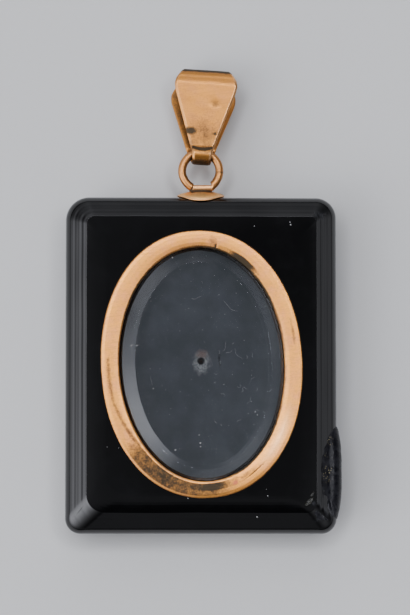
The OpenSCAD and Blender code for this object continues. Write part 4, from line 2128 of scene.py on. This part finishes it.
@dataclass(frozen=True)
class SoftLight:
    """A soft glow of the studio. Its azimuth is 0 to the right and 90 towards the bail, in degrees.

    Strength is the brightness in its middle, and spread the angle at which that has fallen to about
    0.6. A low and wide glow has a half height too, and a round one has none.
    """

    azimuth: float
    elevation: float
    strength: float
    spread: float
    height: float = 0.0

    @property
    def direction(self) -> Vector:
        """Unit vector towards the glow."""
        a, e = np.radians(self.azimuth), np.radians(self.elevation)
        return Vector((np.cos(a) * np.cos(e), np.sin(a) * np.cos(e), np.sin(e)))


@dataclass(frozen=True)
class Shade:
    """A dark disc in front of the canopy, such as the camera.

    It stands to the right of straight above, and up towards the bail, in degrees. It is darkest
    inside its inner radius and ends at the outer one, and left_over is what its middle lets through.
    """

    right: float
    up: float
    inner: float
    outer: float
    left_over: float

    @property
    def direction(self) -> Vector:
        """Unit vector towards its middle."""
        return Vector((np.tan(np.radians(self.right)), np.tan(np.radians(self.up)), 1)).normalized()


@dataclass
class Studio:
    """Plain pale table, soft light and the camera above the pendant.

    The canopy's edge is given by the angles from straight above at which it starts to end and has
    ended, and its near side by how far towards the bail a direction points.
    """

    lights: tuple[SoftLight, ...] = (
        SoftLight(202, 30, 5.2, 17),
        SoftLight(186, 17, 0.7, 16, 6),
        SoftLight(0, 10, 0.8, 20, 7),
        SoftLight(90, 10, 0.7, 20, 7),
        SoftLight(270, 14, 0.24, 20, 6),
        SoftLight(140, 37, 1.6, 13),
        SoftLight(315, 37, 0.8, 13),
        SoftLight(90, 20, 5.0, 20, 5),
        SoftLight(90, 44, 2.6, 7),
        SoftLight(180, 83, 0.17, 3),
        SoftLight(0, 83, 0.12, 3),
    )
    canopy: SoftLight = SoftLight(0, 90, 16.2, 26)
    canopy_edge: tuple[float, float] = (25.0, 29.0)
    shades: tuple[Shade, ...] = (Shade(0, 0, 17, 20, 0.0111), Shade(4.5, 3, 2.5, 5, 0.4))
    near_side: tuple[float, float] = (-0.07, -0.035)
    ambient: float = 0.012
    tint: Colour = (0.97, 0.985, 1.06)
    camera_place: Array = field(default_factory=lambda: np.array([-14.75, -21.64, 403.8]) * MM)
    camera_aim: Array = field(default_factory=lambda: np.array([0.52, 7.12, 3.8]) * MM)
    seen_height: float = 75.15 * MM
    sensor: float = 36.0
    table_reach: float = 0.6
    table_gap: float = 0.02 * MM

    def table(self) -> None:
        """Lays the pale surface under the pendant."""
        mesh = bpy.data.meshes.new("table")
        corners = np.array([(-1, -1, 0), (1, -1, 0), (1, 1, 0), (-1, 1, 0)]) * self.table_reach
        mesh.from_pydata(corners.tolist(), [], [(0, 1, 2, 3)])
        mesh.materials.append(PaleTable().material())
        table = bpy.data.objects.new("table", mesh)
        table.location.z = -self.table_gap
        bpy.context.scene.collection.objects.link(table)

    @staticmethod
    def glow(g: Nodes, light: SoftLight) -> Socket:
        """Brightness of a glow: strength * exp((cos(angle) - 1) / spread^2 - (dz / height)^2).

        Args:
            g: The world's nodes.
            light: The glow; dz counts only where it is low and wide.

        Returns:
            Its brightness in every direction.
        """
        heading = g.coords.outputs["Generated"]
        cosine = g.measure("DOT_PRODUCT", heading, light.direction)
        fall = g.calc("DIVIDE", g.calc("SUBTRACT", cosine, 1.0), np.radians(light.spread) ** 2)
        if light.height:
            above = g.calc("SUBTRACT", g.measure("DOT_PRODUCT", heading, UP), light.direction.z)
            above = g.calc("DIVIDE", above, np.radians(light.height))
            fall = g.calc("SUBTRACT", fall, g.calc("MULTIPLY", above, above))
        return g.calc("MULTIPLY", g.calc("EXPONENT", fall), light.strength)

    def world(self) -> None:
        """Lights the world: ambient + glows + canopy * edge * shades * near side."""
        world = bpy.data.worlds.new("soft_studio")
        world.use_nodes = True
        g = Nodes(world.node_tree)
        heading = g.coords.outputs["Generated"]
        inner, outer = np.cos(np.radians(self.canopy_edge))
        within = g.span(g.measure("DOT_PRODUCT", heading, UP), outer, inner)
        total = g.calc("MULTIPLY", self.glow(g, self.canopy), within)
        for shade in self.shades:
            cosine = g.measure("DOT_PRODUCT", heading, shade.direction)
            inner, outer = np.cos(np.radians([shade.inner, shade.outer]))
            total = g.calc("MULTIPLY", total, g.span(cosine, outer, inner, (1.0, shade.left_over)))
        ahead = g.measure("DOT_PRODUCT", heading, TOWARDS_BAIL)
        total = g.calc("MULTIPLY", total, g.span(ahead, *self.near_side))
        for light in self.lights:
            total = g.calc("ADD", total, self.glow(g, light))
        background = g.nodes.new("ShaderNodeBackground")
        g.put(background.inputs["Color"], self.tint)
        g.put(background.inputs["Strength"], g.calc("ADD", total, self.ambient))
        output = g.nodes.new("ShaderNodeOutputWorld")
        g.put(output.inputs["Surface"], background.outputs[0])
        bpy.context.scene.world = world

    def camera(self) -> None:
        """Hangs the camera above the pendant, a little below and left of its middle."""
        data = bpy.data.cameras.new("camera")
        camera = bpy.data.objects.new("camera", data)
        bpy.context.scene.collection.objects.link(camera)
        look = Vector(self.camera_aim - self.camera_place)
        data.sensor_width = self.sensor
        data.lens = self.sensor * look.length / self.seen_height
        data.clip_start, data.clip_end = 0.01, 10
        camera.location = self.camera_place
        back = -look.normalized()
        right = TOWARDS_BAIL.cross(back).normalized()
        up = back.cross(right)
        camera.rotation_euler = Matrix((right, up, back)).transposed().to_euler()
        bpy.context.scene.camera = camera

    def build(self) -> None:
        """Sets up table, light and camera."""
        self.table()
        self.world()
        self.camera()


def main() -> None:
    """Sets up the studio and builds the pendant in it, piece by piece."""
    logging.basicConfig(level=logging.INFO, format="%(message)s")
    Studio().build()
    compartment = Compartment.from_frame()
    plaque = StonePlaque.from_frame(compartment)
    stone = plaque.build(PolishedOnyx().material(), GroundStone().material())
    fit(stone, Body.PENDANT, "plaque")
    fit(EdgeFiller(plaque).build(OldFiller().material()), Body.PENDANT)
    gold = WornGold(GoldPart.BEZEL, tarnish_and_shade=(0.07, 0.052, 0.033), satin=0.42, flush_at=(4.05, -14.3))
    fit(Bezel.from_frame(compartment).build(gold.material()), Body.PENDANT, "bezel")
    glass = OvalGlass.from_frame(compartment)
    fit(glass.build(OldGlass().material()), Body.PENDANT, "glass")
    # a darker copy of the bezel's gold: painted shade
    ring_gold = WornGold(GoldPart.RING, metal=(0.54, 0.22, 0.056), pink=(0.52, 0.225, 0.07))
    # paler and yellower than the bezel's gold: painted light
    cap_gold = WornGold(GoldPart.CAP, metal=(1.0, 0.58, 0.2), pink=(1.0, 0.6, 0.25), satin=0.4)
    for piece in RingAndCap(plaque).build(ring_gold.material(), cap_gold.material()):
        fit(piece, Body.PENDANT, "cap_ring")
    # a darker copy of the bezel's gold: painted shade
    bail_gold = WornGold(
        GoldPart.BAIL, metal=(0.56, 0.232, 0.048), pink=(0.54, 0.225, 0.062), tarnish_and_shade=(0.07, 0.05, 0.03)
    )
    fit(FoldedBail().build(bail_gold.material()), Body.BAIL, "bail")
    for piece in OldDust(compartment, glass.top_z, plaque.thickness).build():
        fit(piece, Body.PENDANT)


if __name__ == "__main__":
    main()
